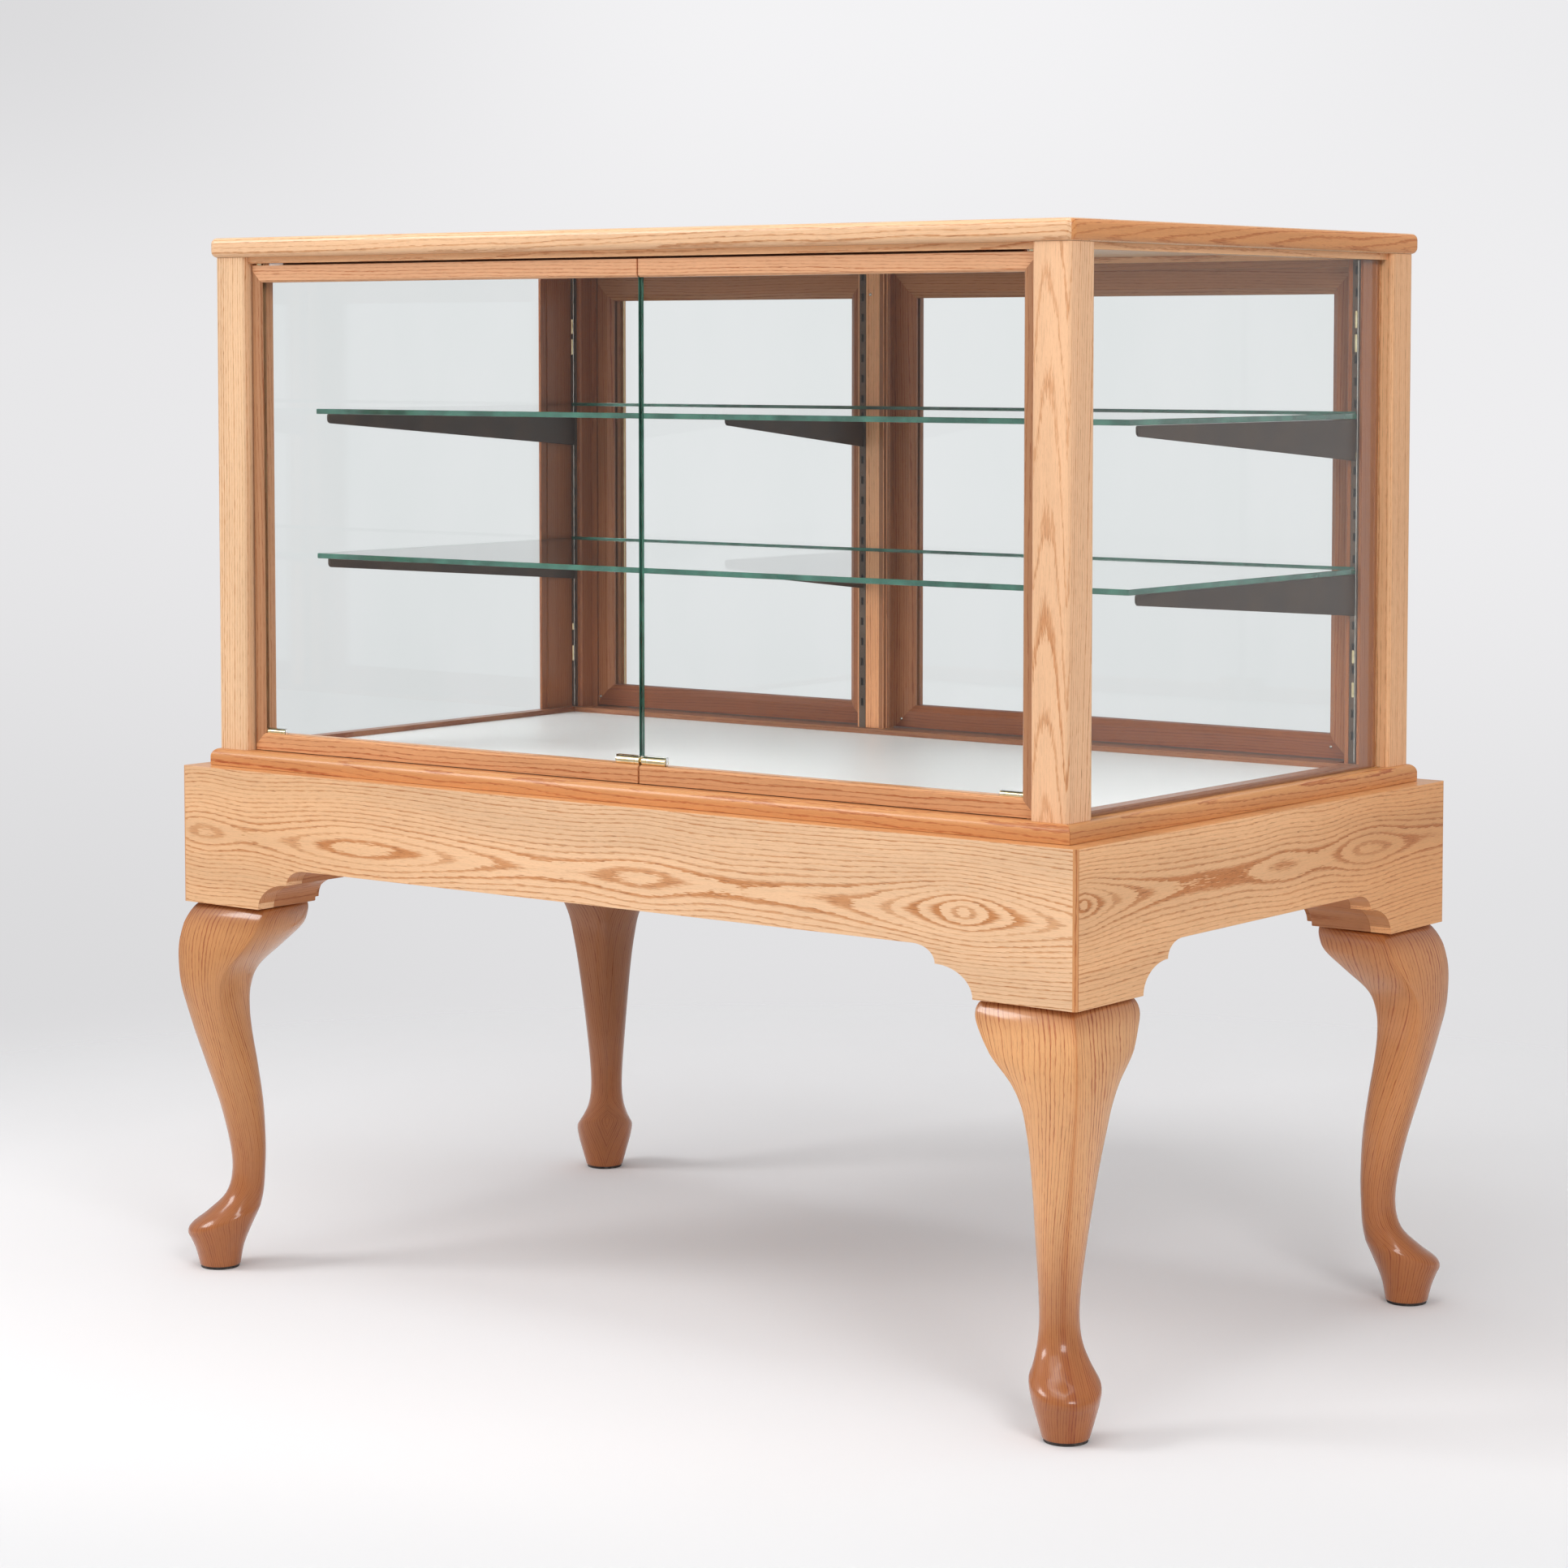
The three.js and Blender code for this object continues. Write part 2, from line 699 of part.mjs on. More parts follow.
// Beside the left pane the jamb reaches forward over the sill as a thin, beaded board.
function stopBoard() {
  const inner = jambOuterX - stopBoardThickness;
  const rootY = jambFrontY + stopBoardRoot;
  const frontY = jambFrontY - stopBoardReach;
  const quirkY = frontY + stopBoardBead;
  const points = [
    [inner, rootY], [inner, quirkY + stopBoardQuirkWidth],
    [inner + stopBoardQuirkDepth, quirkY + stopBoardQuirkWidth],
    [inner + stopBoardQuirkDepth, quirkY], [inner, quirkY],
    [inner, frontY], [jambOuterX, frontY], [jambOuterX, rootY],
  ];
  const shape = outline(points.map(([x, y]) => [-x, y]));
  return upright(shape, sillTop + jointGap, headerBottom - jointGap);
}

function jambForm(side) {
  const backY = postInnerY - seatGap;
  const round = new THREE.Path();
  round.absarc(
    jambInnerX + jambRound, jambFrontY + jambRound, jambRound, Math.PI, 1.5 * Math.PI, false,
  );
  const points = [
    ...round.getPoints(4).map((p) => [p.x, p.y]), ...standardGroove(standardX),
    [jambOuterX, jambFrontY], ...jambBead(backY),
    [jambBackX, backY], [jambBackX, doorStopY], [jambInnerX, doorStopY],
  ];
  const shape = outline(points.map(([x, y]) => [side * x, y]));
  return upright(shape, deckTop + jointGap, headerBottom - jointGap);
}
add('rear_jamb_left', joined([jambForm(-1), stopBoard()]), 'oak');
add('rear_jamb_right', jambForm(1), 'oak');

// The mullion's right side carries a half-round bead a little behind its front face.
function mullionForm() {
  const bead = new THREE.Path();
  const beadY = jambFrontY + mullionBeadSetback;
  bead.absarc(mullionRight, beadY, mullionBeadRadius, -Math.PI / 2, Math.PI / 2, false);
  const shape = outline([
    [mullionLeft, jambFrontY], ...standardGroove(midStandardX), [mullionRight, jambFrontY],
    ...bead.getPoints(6).map((p) => [p.x, p.y]),
    [mullionRight, doorStopY], [mullionLeft, doorStopY],
  ]);
  return upright(shape, sillTop + jointGap, headerBottom - jointGap);
}
add('mullion', mullionForm(), 'oak');

// Door frames. A profile point is measured from the frame's outer edge or from the edge of
// its opening, and by its depth behind the frame's front face.
function framePoint(point, y0, x, z) {
  return new THREE.Vector3(
    point.from === 'outer' ? x.outer + x.inward * point.off : x.inner - x.inward * point.off,
    y0 + point.depth,
    point.from === 'outer' ? z.outer + z.inward * point.off : z.inner - z.inward * point.off,
  );
}

function grooveProfile(front, bevelWidth, bevelDepth, thickness) {
  const near = front - seatGap;
  const far = front + paneThickness + seatGap;
  const inner = (off, depth) => ({ from: 'inner', off, depth });
  const outer = (off, depth) => ({ from: 'outer', off, depth });
  return [
    outer(0, 0), inner(bevelWidth, 0), inner(0, bevelDepth), inner(0, near),
    inner(paneGrooveDepth + seatGap, near), inner(paneGrooveDepth + seatGap, far),
    inner(0, far), inner(0, thickness), outer(0, thickness),
  ];
}

// Front doors: a stile and two rails round a pane whose free edge meets its neighbour.
const frontDoorY = -(postOuterY - frontDoorSetback);
const frontDoorEdgeX = postInnerX - frontDoorSideGap;
const frontDoorBottom = deckTop + frontDoorFloorGap;
const frontPaneY = frontDoorY + frontPaneSetback;
const frontRailTop = frontDoorBottom + frontRailHeight;
const frontTopRail = doorTop - frontRailHeight;
const pivotX = frontDoorEdgeX - pivotInset;
const pivotY = frontDoorY + pivotInset;

function clampRise(radius) {
  const halfGroove = paneThickness / 2 + seatGap;
  return Math.sqrt((radius + jointGap) ** 2 - halfGroove ** 2);
}

function frontFrame(side, seamX) {
  const x = {
    outer: side * frontDoorEdgeX,
    inner: side * (frontDoorEdgeX - frontStileWidth),
    inward: -side,
  };
  const low = { outer: frontDoorBottom, inner: frontRailTop, inward: 1 };
  const high = { outer: doorTop, inner: frontTopRail, inward: -1 };
  const profile = grooveProfile(frontPaneSetback, frontBevel, frontBevel, frontDoorThickness);
  const corner = (z) => profile.map((p) => framePoint(p, frontDoorY, x, z));
  const seamEnd = (z) => corner(z).map((p) => new THREE.Vector3(seamX, p.y, p.z));
  const bar = skin(
    [seamEnd(low), corner(low), corner(high), seamEnd(high)],
    (p) => new THREE.Vector2(p.y, p.z),
  );
  const bores = [frontDoorBottom, doorTop].map((end) => {
    const bore = new THREE.CylinderGeometry(
      pinRadius + pinClearance, pinRadius + pinClearance, 2 * (pinLength + pinClearance), 16,
    );
    return bore.rotateX(Math.PI / 2).translate(side * pivotX, pivotY, end);
  });
  return cutBy(bar, bores);
}

function frontPane(side, seamX) {
  const stileEdge = side * (frontDoorEdgeX - frontStileWidth + paneGrooveDepth);
  const bottom = frontRailTop - paneGrooveDepth;
  const top = frontTopRail + paneGrooveDepth;
  const seamNotch = seamX + side * (seamClampLength + 2 * seatGap);
  const cornerClampEnd = frontDoorEdgeX - frontStileWidth - seatGap - cornerClampLength;
  const cornerNotch = side * (cornerClampEnd - seatGap);
  const seamNotchTop = frontRailTop + clampRise(seamClampRadius) + seamClampRadius + seatGap;
  const cornerRise = clampRise(cornerClampRadius) + cornerClampRadius + seatGap;
  const shape = outline([
    [seamX, seamNotchTop], [seamNotch, seamNotchTop], [seamNotch, bottom],
    [cornerNotch, bottom], [cornerNotch, frontRailTop + cornerRise],
    [stileEdge, frontRailTop + cornerRise], [stileEdge, top], [seamX, top],
  ]);
  return sheet(shape, paneThickness).rotateX(Math.PI / 2)
    .translate(0, frontPaneY + paneThickness, 0);
}

// A barrel clamp lying along X, with a collar at the end given by toward.
function clampForm(radius, length, toward) {
  const neck = radius * clampNeckShare;
  const edge = radius * clampEdgeShare;
  const collar = length * clampCollarShare;
  const profile = [
    [0, 0], [radius - edge, 0], [radius, edge], [radius, length - collar - edge],
    [neck, length - collar - edge], [neck, length - collar], [radius, length - collar],
    [radius, length - edge], [radius - edge, length], [0, length],
  ];
  const barrel = new THREE.LatheGeometry(
    profile.map(([r, z]) => new THREE.Vector2(r, z)), 16,
  );
  return barrel.rotateZ(toward > 0 ? -Math.PI / 2 : Math.PI / 2);
}

const clampY = frontPaneY + paneThickness / 2;
const pinProfile = (collarHeight) => [
  [0, 0], [pinCollarRadius, 0], [pinCollarRadius, collarHeight], [pinRadius, collarHeight],
  [pinRadius, collarHeight + pinLength], [0, collarHeight + pinLength],
];
for (const [name, side] of [['left', -1], ['right', 1]]) {
  const seamX = frontSeamX + side * frontSeamGap / 2;
  add(`front_door_frame_${name}`, frontFrame(side, seamX), 'oak');
  add(`front_door_glass_${name}`, frontPane(side, seamX), 'glass');
  const seamClamp = clampForm(seamClampRadius, seamClampLength, -side);
  add(`seam_clamp_${name}`, seamClamp, 'brass').position.set(
    seamX + side * (seamClampLength + seatGap),
    clampY,
    frontRailTop + clampRise(seamClampRadius),
  );
  const cornerClamp = clampForm(cornerClampRadius, cornerClampLength, -side);
  add(`corner_clamp_${name}`, cornerClamp, 'brass').position.set(
    side * (frontDoorEdgeX - frontStileWidth - seatGap),
    clampY,
    frontRailTop + clampRise(cornerClampRadius),
  );
  const lowCollar = frontDoorFloorGap - seatGap;
  const lowPin = new THREE.LatheGeometry(
    pinProfile(lowCollar).map(([r, z]) => new THREE.Vector2(r, z)), 16,
  ).rotateX(Math.PI / 2);
  add(`pivot_pin_lower_${name}`, lowPin, 'brass').position.set(side * pivotX, pivotY, deckTop);
  const highCollar = doorHeadGap - seatGap;
  const highPin = new THREE.LatheGeometry(
    pinProfile(highCollar).map(([r, z]) => new THREE.Vector2(r, z)), 16,
  ).rotateX(-Math.PI / 2);
  add(`pivot_pin_upper_${name}`, highPin, 'brass').position.set(
    side * pivotX, pivotY, headerBottom - jointGap,
  );
}

// Rear doors: framed panes that swing out from the rear posts on long hinges.
const rearDoorY = doorStopY + seatGap;
const rearDoorBackY = rearDoorY + rearDoorThickness;
const rearDoorEdgeX = postInnerX - rearDoorSideGap;
const rearDoorBottom = sillTop + rearDoorFloorGap;

function rearDoorEdges(side) {
  const seam = mullionX + side * rearSeamGap / 2;
  return {
    hinge: { outer: side * rearDoorEdgeX, width: hingeStileWidth, inward: -side },
    seam: { outer: seam, width: meetingStileWidth, inward: side },
  };
}

function rearFrame(side) {
  const edges = rearDoorEdges(side);
  const across = [edges.hinge, edges.seam].map((e) => (
    { outer: e.outer, inner: e.outer + e.inward * e.width, inward: e.inward }
  ));
  const low = { outer: rearDoorBottom, inner: rearDoorBottom + rearBottomRail, inward: 1 };
  const high = { outer: doorTop, inner: doorTop - rearTopRail, inward: -1 };
  const profile = grooveProfile(
    rearPaneSetback, rearBevelWidth, rearBevelDepth, rearDoorThickness,
  );
  const stops = [[across[0], low], [across[1], low], [across[1], high], [across[0], high]];
  const ring = skin(
    stops.map(([x, z]) => profile.map((p) => framePoint(p, rearDoorY, x, z))), null, true,
  );
  const seam = edges.seam.outer;
  const grip = outline([
    [seam - side * cutOverrun, rearDoorBackY + cutOverrun],
    [seam - side * cutOverrun, rearDoorBackY - gripChamfer - cutOverrun],
    [seam + side * (gripChamfer + cutOverrun), rearDoorBackY + cutOverrun],
  ]);
  const tool = upright(grip, rearDoorBottom - cutOverrun, doorTop + cutOverrun);
  return cutBy(ring, [tool]);
}

function rearPane(side) {
  const edges = rearDoorEdges(side);
  const [a, b] = [edges.hinge, edges.seam].map((e) => (
    e.outer + e.inward * (e.width - paneGrooveDepth)
  ));
  const low = rearDoorBottom + rearBottomRail - paneGrooveDepth;
  const high = doorTop - rearTopRail + paneGrooveDepth;
  return sheet(outline([[a, low], [b, low], [b, high], [a, high]]), paneThickness)
    .rotateX(Math.PI / 2)
    .translate(0, rearDoorY + rearPaneSetback + paneThickness, 0);
}

// Hinges: two long leaves with alternate knuckles on one pin, as on a lid or a case door.
const hingeX = postInnerX - hingeRadius - seatGap;
const hingeY = rearDoorBackY + hingeRadius + seatGap;
const hingeBottom = rearDoorBottom + hingeEndMargin;
const hingeLength = doorTop - rearDoorBottom - 2 * hingeEndMargin;
const knucklePitch = hingeLength / hingeKnuckles;

function barrel(radius, z0, z1) {
  const length = z1 - z0;
  return new THREE.CylinderGeometry(radius, radius, length, barrelSides)
    .rotateX(Math.PI / 2)
    .translate(0, 0, (z0 + z1) / 2);
}

function knuckleSpans(first) {
  const spans = [];
  for (let i = first; i < hingeKnuckles; i += 2) {
    spans.push([i * knucklePitch + knuckleGap / 2, (i + 1) * knucklePitch - knuckleGap / 2]);
  }
  return spans;
}

// The leaf on the post lies along Y, and the leaf on the door lies along X.
function postLeaf() {
  const face = hingeRadius - hingeLeafThickness;
  const clear = hingeRadius + knuckleGap;
  const pieces = [box(face, hingeRadius, clear, clear + hingeLeafWidth, 0, hingeLength)];
  for (const [z0, z1] of knuckleSpans(0)) {
    pieces.push(box(face, hingeRadius, 0, clear + jointGap, z0, z1));
    pieces.push(barrel(hingeRadius, z0, z1));
  }
  pieces.push(barrel(hingePinRadius, 0, hingeLength));
  return joined(pieces);
}

function doorLeaf() {
  const face = hingeRadius - hingeLeafThickness;
  const clear = hingeRadius + knuckleGap;
  const pieces = [box(-clear - hingeLeafWidth, -clear, -hingeRadius, -face, 0, hingeLength)];
  for (const [z0, z1] of knuckleSpans(1)) {
    pieces.push(box(-clear - jointGap, 0, -hingeRadius, -face, z0, z1));
    pieces.push(barrel(hingeRadius, z0, z1));
  }
  const bore = barrel(hingePinRadius + hingeBoreClearance, -cutOverrun, hingeLength + cutOverrun);
  return cutBy(joined(pieces), [bore]);
}

for (const [name, side] of [['left', -1], ['right', 1]]) {
  add(`rear_door_frame_${name}`, rearFrame(side), 'oak');
  add(`rear_door_glass_${name}`, rearPane(side), 'glass');
  for (const [leaf, form] of [['post', postLeaf()], ['door', doorLeaf()]]) {
    add(`rear_hinge_${leaf}_leaf_${name}`, mirrored(form, side, 1), 'brass')
      .position.set(side * hingeX, hingeY, hingeBottom);
  }
}

// Standards: slotted channels let into the jambs and the mullion to carry the brackets.
const standardFaceY = jambFrontY;
const slotWidth = bracketThickness + 2 * seatGap;
const standardBottom = sillTop + jointGap;
const standardTop = headerBottom - jointGap;
const slotBase = (slot) => sillTop + firstSlotRise + slot * slotPitch;

function standardForm(centreX) {
  const half = standardWidth / 2;
  const back = standardFaceY + standardDepth;
  const inside = standardFaceY + standardWall;
  const channel = upright(outline([
    [-half, standardFaceY], [half, standardFaceY], [half, back],
    [half - standardWall, back], [half - standardWall, inside],
    [-half + standardWall, inside], [-half + standardWall, back], [-half, back],
  ]), standardBottom, standardTop);
  const slots = [];
  for (let slot = 0; slotBase(slot) + slotHeight < standardTop; slot += 1) {
    slots.push(box(
      -slotWidth / 2, slotWidth / 2, standardFaceY - cutOverrun, inside + jointGap,
      slotBase(slot), slotBase(slot) + slotHeight,
    ));
  }
  return cutBy(channel, slots).translate(centreX, 0, 0);
}

// Brackets: tapered plates whose two hooks drop behind the face of the standard.
function bracketForm(centreX, tipY, heel, slot) {
  const top = slotBase(slot) + bracketHead;
  const heelY = standardFaceY - seatGap;
  const toe = top - bracketNose;
  const behind = standardFaceY + standardWall + seatGap;
  const hookEnd = standardFaceY + standardDepth - seatGap;
  const shape = new THREE.Shape();
  shape.moveTo(heelY, top);
  shape.absarc(
    tipY + bracketTopRound, top - bracketTopRound, bracketTopRound, Math.PI / 2, Math.PI, false,
  );
  shape.absarc(
    tipY + bracketNoseRound, toe + bracketNoseRound, bracketNoseRound,
    Math.PI, 1.5 * Math.PI, false,
  );
  shape.lineTo(heelY, top - heel);
  for (const hook of [slot - 1, slot]) {
    const rest = slotBase(hook) + jointGap;
    shape.lineTo(heelY, rest);
    shape.lineTo(behind, rest);
    shape.lineTo(behind, rest - hookDrop);
    shape.lineTo(hookEnd, rest - hookDrop);
    shape.lineTo(hookEnd, rest + hookHeight);
    shape.lineTo(heelY, rest + hookHeight);
  }
  const plate = new THREE.ExtrudeGeometry(shape, {
    depth: bracketThickness, bevelEnabled: false, curveSegments: 4,
  });
  return plate.rotateX(Math.PI / 2).rotateZ(Math.PI / 2)
    .translate(centreX - bracketThickness / 2, 0, 0);
}

const uprights = [
  { name: 'left', x: -standardX, tip: sideBracketTipY, heel: sideBracketHeel },
  { name: 'middle', x: midStandardX, tip: midBracketTipY, heel: midBracketHeel },
  { name: 'right', x: standardX, tip: sideBracketTipY, heel: sideBracketHeel },
];
const shelves = [['lower', lowerShelfSlot], ['upper', upperShelfSlot]];
for (const standard of uprights) {
  add(`standard_${standard.name}`, standardForm(standard.x), 'bronze');
  for (const [level, slot] of shelves) {
    const plate = bracketForm(standard.x, standard.tip, standard.heel, slot);
    add(`bracket_${level}_${standard.name}`, plate, 'bronze');
  }
}

// Shelves: glass resting on the brackets.
const shelfX = paneInnerX - shelfSideGap;
const shelfBackY = standardFaceY - shelfBackGap;
for (const [level, slot] of shelves) {
  const shape = outline([
    [-shelfX, shelfFrontY], [shelfX, shelfFrontY], [shelfX, shelfBackY], [-shelfX, shelfBackY],
  ]);
  const shelf = sheet(shape, shelfThickness);
  shelf.translate(0, 0, slotBase(slot) + bracketHead + seatGap);
  add(`shelf_${level}`, shelf, 'glass');
}

export default counter;
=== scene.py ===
# The looks of a glass display counter: an oak and glass case on a stand with four
# cabriole legs. Metres, +Z up. X runs along the counter and the customer's side faces -Y.
import json
import math

import bmesh
import bpy
from mathutils import Matrix, Vector

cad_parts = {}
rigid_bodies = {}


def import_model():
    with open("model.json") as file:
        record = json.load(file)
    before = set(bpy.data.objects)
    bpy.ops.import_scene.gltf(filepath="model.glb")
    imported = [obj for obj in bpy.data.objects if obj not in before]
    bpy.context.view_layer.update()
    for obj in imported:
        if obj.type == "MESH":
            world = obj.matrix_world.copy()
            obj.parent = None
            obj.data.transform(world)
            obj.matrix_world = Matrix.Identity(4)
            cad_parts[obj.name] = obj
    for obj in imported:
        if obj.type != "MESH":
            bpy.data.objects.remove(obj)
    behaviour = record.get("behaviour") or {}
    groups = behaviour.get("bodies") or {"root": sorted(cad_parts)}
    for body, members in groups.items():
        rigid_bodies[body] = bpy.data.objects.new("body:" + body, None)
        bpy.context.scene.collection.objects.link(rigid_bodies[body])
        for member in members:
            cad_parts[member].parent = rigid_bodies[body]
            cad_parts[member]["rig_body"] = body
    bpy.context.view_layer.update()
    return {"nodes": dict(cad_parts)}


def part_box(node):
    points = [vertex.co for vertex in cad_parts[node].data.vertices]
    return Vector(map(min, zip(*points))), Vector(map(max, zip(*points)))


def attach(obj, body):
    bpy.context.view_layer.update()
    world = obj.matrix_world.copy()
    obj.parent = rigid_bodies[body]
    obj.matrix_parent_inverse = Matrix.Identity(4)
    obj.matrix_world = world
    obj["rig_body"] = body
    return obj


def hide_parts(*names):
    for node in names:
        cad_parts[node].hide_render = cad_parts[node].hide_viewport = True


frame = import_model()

mm = 0.001
grain_map = "grain"
crisp_angle = math.radians(38)

weld = 0.001 * mm
hair = 0.1 * mm
seat_gap = 0.3 * mm

# Stand
apron_land = 120 * mm
lower_cove = (45 * mm, 31 * mm)
upper_cove = (27 * mm, 18 * mm)
cove_steps = 14
apron_edge_round = 2 * mm
apron_top_round = 3.6 * mm
knee_width = 164 * mm
leg_post_side = 57 * mm
leg_ring_points = 64
leg_steps = 6
leg_rim_round = 0.8 * mm
block_depth_y = 92 * mm
block_depth_x = 98 * mm
close_gap = 0.05 * mm
block_spare = 2 * mm
block_round = 2 * mm

# Case
moulding_round = (8 * mm, 9.5 * mm)
moulding_foot_round = 0.8 * mm
moulding_steps = 12
groove_depth = 5 * mm
top_round = 7 * mm
top_corner = 9 * mm
top_corner_least = 1.5 * mm
top_steps = 6
stave_width = 98 * mm
post_arris = 4 * mm
post_steps = 8
apron_arris = 5 * mm
# Painted shade along the legs' outer ridges.
ridge_shade_width = 5 * mm
ridge_shade_share = 0.75
# Painted shade at the top of each knee, under the apron.
knee_top_shade_span = (392 * mm, 423 * mm)
wood_arris = 0.7 * mm
slim_arris = 0.5 * mm
header_rails = (25 * mm, 12.5 * mm)
sill_rails = (16 * mm, 9 * mm)
mullion_reveal = 9.5 * mm
head_stop_deep = 6.5 * mm
head_stop_tall = 8 * mm
head_stop_lap = 8 * mm
head_stop_gap = 0.4 * mm
front_stop_reach = 505 * mm
front_stop_deep = 5 * mm
front_stop_tall = 6 * mm
front_stop_gap = 0.6 * mm
front_stiles = (13 * mm, 0.0)
front_rails = (19 * mm, 19 * mm)
rear_stiles = (22 * mm, 46 * mm)
rear_rails = (26 * mm, 34 * mm)
far_off = 2.0
back_line = (1.2 * mm, 2 * mm)
back_line_round = 0.4 * mm

# Metal
bracket_edge_round = 0.5 * mm
metal_edge_round = 0.25 * mm
# Size of the dark plates that paint shade inside the standards.
slot_shade_half = 2.9 * mm
seam_rod_radius = 0.7 * mm
seam_rod_shift = 2.2 * mm
knuckle_radius = 1.6 * mm
screw_radius = 2 * mm
screw_dome = 0.6
screw_sides = 16
rod_sides = 12
clamp_sides = 40
glide_sides = 48
slot_shade_gaps = (1.5 * mm, 0.2 * mm)

hands = {"left": -1, "right": 1}


# Boxes and faces read from the frame

def low(node):
    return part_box(node)[0]


def high(node):
    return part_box(node)[1]


half_length = high("apron_front").x
half_depth = high("apron_right").y
apron_bottom = low("apron_front").z
apron_top = high("apron_front").z
apron_thickness = high("apron_front").y + half_depth


# Mesh helpers. Each form is a bmesh until store() makes a piece of it.

def lofted(sections):
    """Skins a row of sections with the same number of points."""
    work = bmesh.new()
    rows = [[work.verts.new(point) for point in section] for section in sections]
    for here, there in zip(rows, rows[1:]):
        for i in range(len(here)):
            j = (i + 1) % len(here)
            work.faces.new((here[i], here[j], there[j], there[i]))
    work.faces.new(rows[0])
    work.faces.new(rows[-1])
    bmesh.ops.recalc_face_normals(work, faces=work.faces)
    return work


def turned(profile, sides, place):
    """Turns a profile of (radius, height) points that starts and ends on the Z axis, and
    moves the form by a matrix."""
    work = bmesh.new()
    rows = []
    for radius, height in profile:
        count = sides if radius else 1
        rows.append([
            work.verts.new((
                radius * math.cos(2 * math.pi * k / sides),
                radius * math.sin(2 * math.pi * k / sides),
                height,
            ))
            for k in range(count)
        ])
    for here, there in zip(rows, rows[1:]):
        for k in range(sides):
            n = (k + 1) % sides
            corners = (
                here[k % len(here)], here[n % len(here)],
                there[n % len(there)], there[k % len(there)],
            )
            work.faces.new(list(dict.fromkeys(corners)))
    bmesh.ops.recalc_face_normals(work, faces=work.faces)
    bmesh.ops.transform(work, matrix=place, verts=work.verts)
    return work


def carried_over(node):
    """A welded copy of a CAD node's mesh."""
    work = bmesh.new()
    work.from_mesh(frame["nodes"][node].data)
    bmesh.ops.remove_doubles(work, verts=work.verts, dist=weld)
    return work


def cut_along(work, point, normal, clear=False):
    """Adds an edge loop where a plane crosses the form, and may clear what lies past it."""
    everything = list(work.verts) + list(work.edges) + list(work.faces)
    return bmesh.ops.bisect_plane(
        work, geom=everything, plane_co=point, plane_no=normal, clear_outer=clear)["geom_cut"]


def stacked(layers):
    """Skins flat outlines, each given with its height."""
    return lofted([[(x, y, z) for x, y in outline] for outline, z in layers])


def block(x0, x1, y0, y1, z0, z1):
    """A square bar between two corners."""
    outline = ((x0, y0), (x1, y0), (x1, y1), (x0, y1))
    return stacked([(outline, z0), (outline, z1)])


def turn(degrees, axis):
    return Matrix.Rotation(math.radians(degrees), 4, axis)


def mesh_of(name, work):
    mesh = bpy.data.meshes.new(name)
    work.to_mesh(mesh)
    work.free()
    return mesh


def put_in(name, data):
    """Puts an object with this data in the scene."""
    thing = bpy.data.objects.new(name, data)
    bpy.context.scene.collection.objects.link(thing)
    return thing


def joined_to(work, other):
    """Adds the other form to the first as a body of its own."""
    mesh = mesh_of("joined", other)
    work.from_mesh(mesh)
    bpy.data.meshes.remove(mesh)
    return work


def painted(work, chooser):
    """Gives each face the material index that chooser(centre, normal) returns."""
    work.normal_update()
    for face in work.faces:
        face.material_index = chooser(face.calc_center_median(), face.normal)
    return work


def cleaned(work):
    """Joins the flat facets of each face, without joining across materials."""
    bmesh.ops.dissolve_limit(
        work, angle_limit=math.radians(0.5), use_dissolve_boundaries=False,
        verts=work.verts, edges=work.edges, delimit={"MATERIAL"},
    )
    return work


def softened(work, width, segments=2, sharper_than=28, only=None):
    """Rounds the edges that are sharper than a number of degrees."""
    work.normal_update()
    limit = math.radians(sharper_than)
    edges = [
        edge for edge in work.edges
        if edge.is_manifold and edge.calc_face_angle() > limit and (only is None or only(edge))
    ]
    bmesh.ops.bevel(
        work, geom=edges, offset=width, offset_type="OFFSET", segments=segments,
        profile=0.5, affect="EDGES", clamp_overlap=True, loop_slide=True,
    )
    return work


def carried_softened(node, width, segments=2):
    """A copy of a CAD node's mesh with its edges eased."""
    return softened(cleaned(carried_over(node)), width, segments)


def store(name, work, node, materials, stands_for=()):
    """Makes a piece of a form, on a node's body, in place of the CAD nodes it stands for."""
    bmesh.ops.recalc_face_normals(work, faces=work.faces)
    work.normal_update()
    for edge in work.edges:
        if edge.is_manifold and edge.calc_face_angle() > crisp_angle:
            edge.smooth = False
    mesh = mesh_of(name, work)
    for polygon in mesh.polygons:
        polygon.use_smooth = True
    for material in materials:
        mesh.materials.append(material)
    piece = put_in(name, mesh)
    shade = piece.modifiers.new("even_shade", "WEIGHTED_NORMAL")
    shade.keep_sharp = True
    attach(piece, frame["nodes"][node]["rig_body"])
    if stands_for:
        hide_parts(*stands_for)
    return piece


def fine(node, work, materials):
    """Stores a finer form of one CAD node."""
    return store(f"fine_{node}", work, node, materials, (node,))


def arc(centre, radii, start, end, steps):
    """Points on an ellipse, with its angles in degrees."""
    points = []
    for k in range(steps + 1):
        angle = math.radians(start + (end - start) * k / steps)
        points.append((
            centre[0] + radii[0] * math.cos(angle),
            centre[1] + radii[1] * math.sin(angle),
        ))
    return points


# Node graph helpers

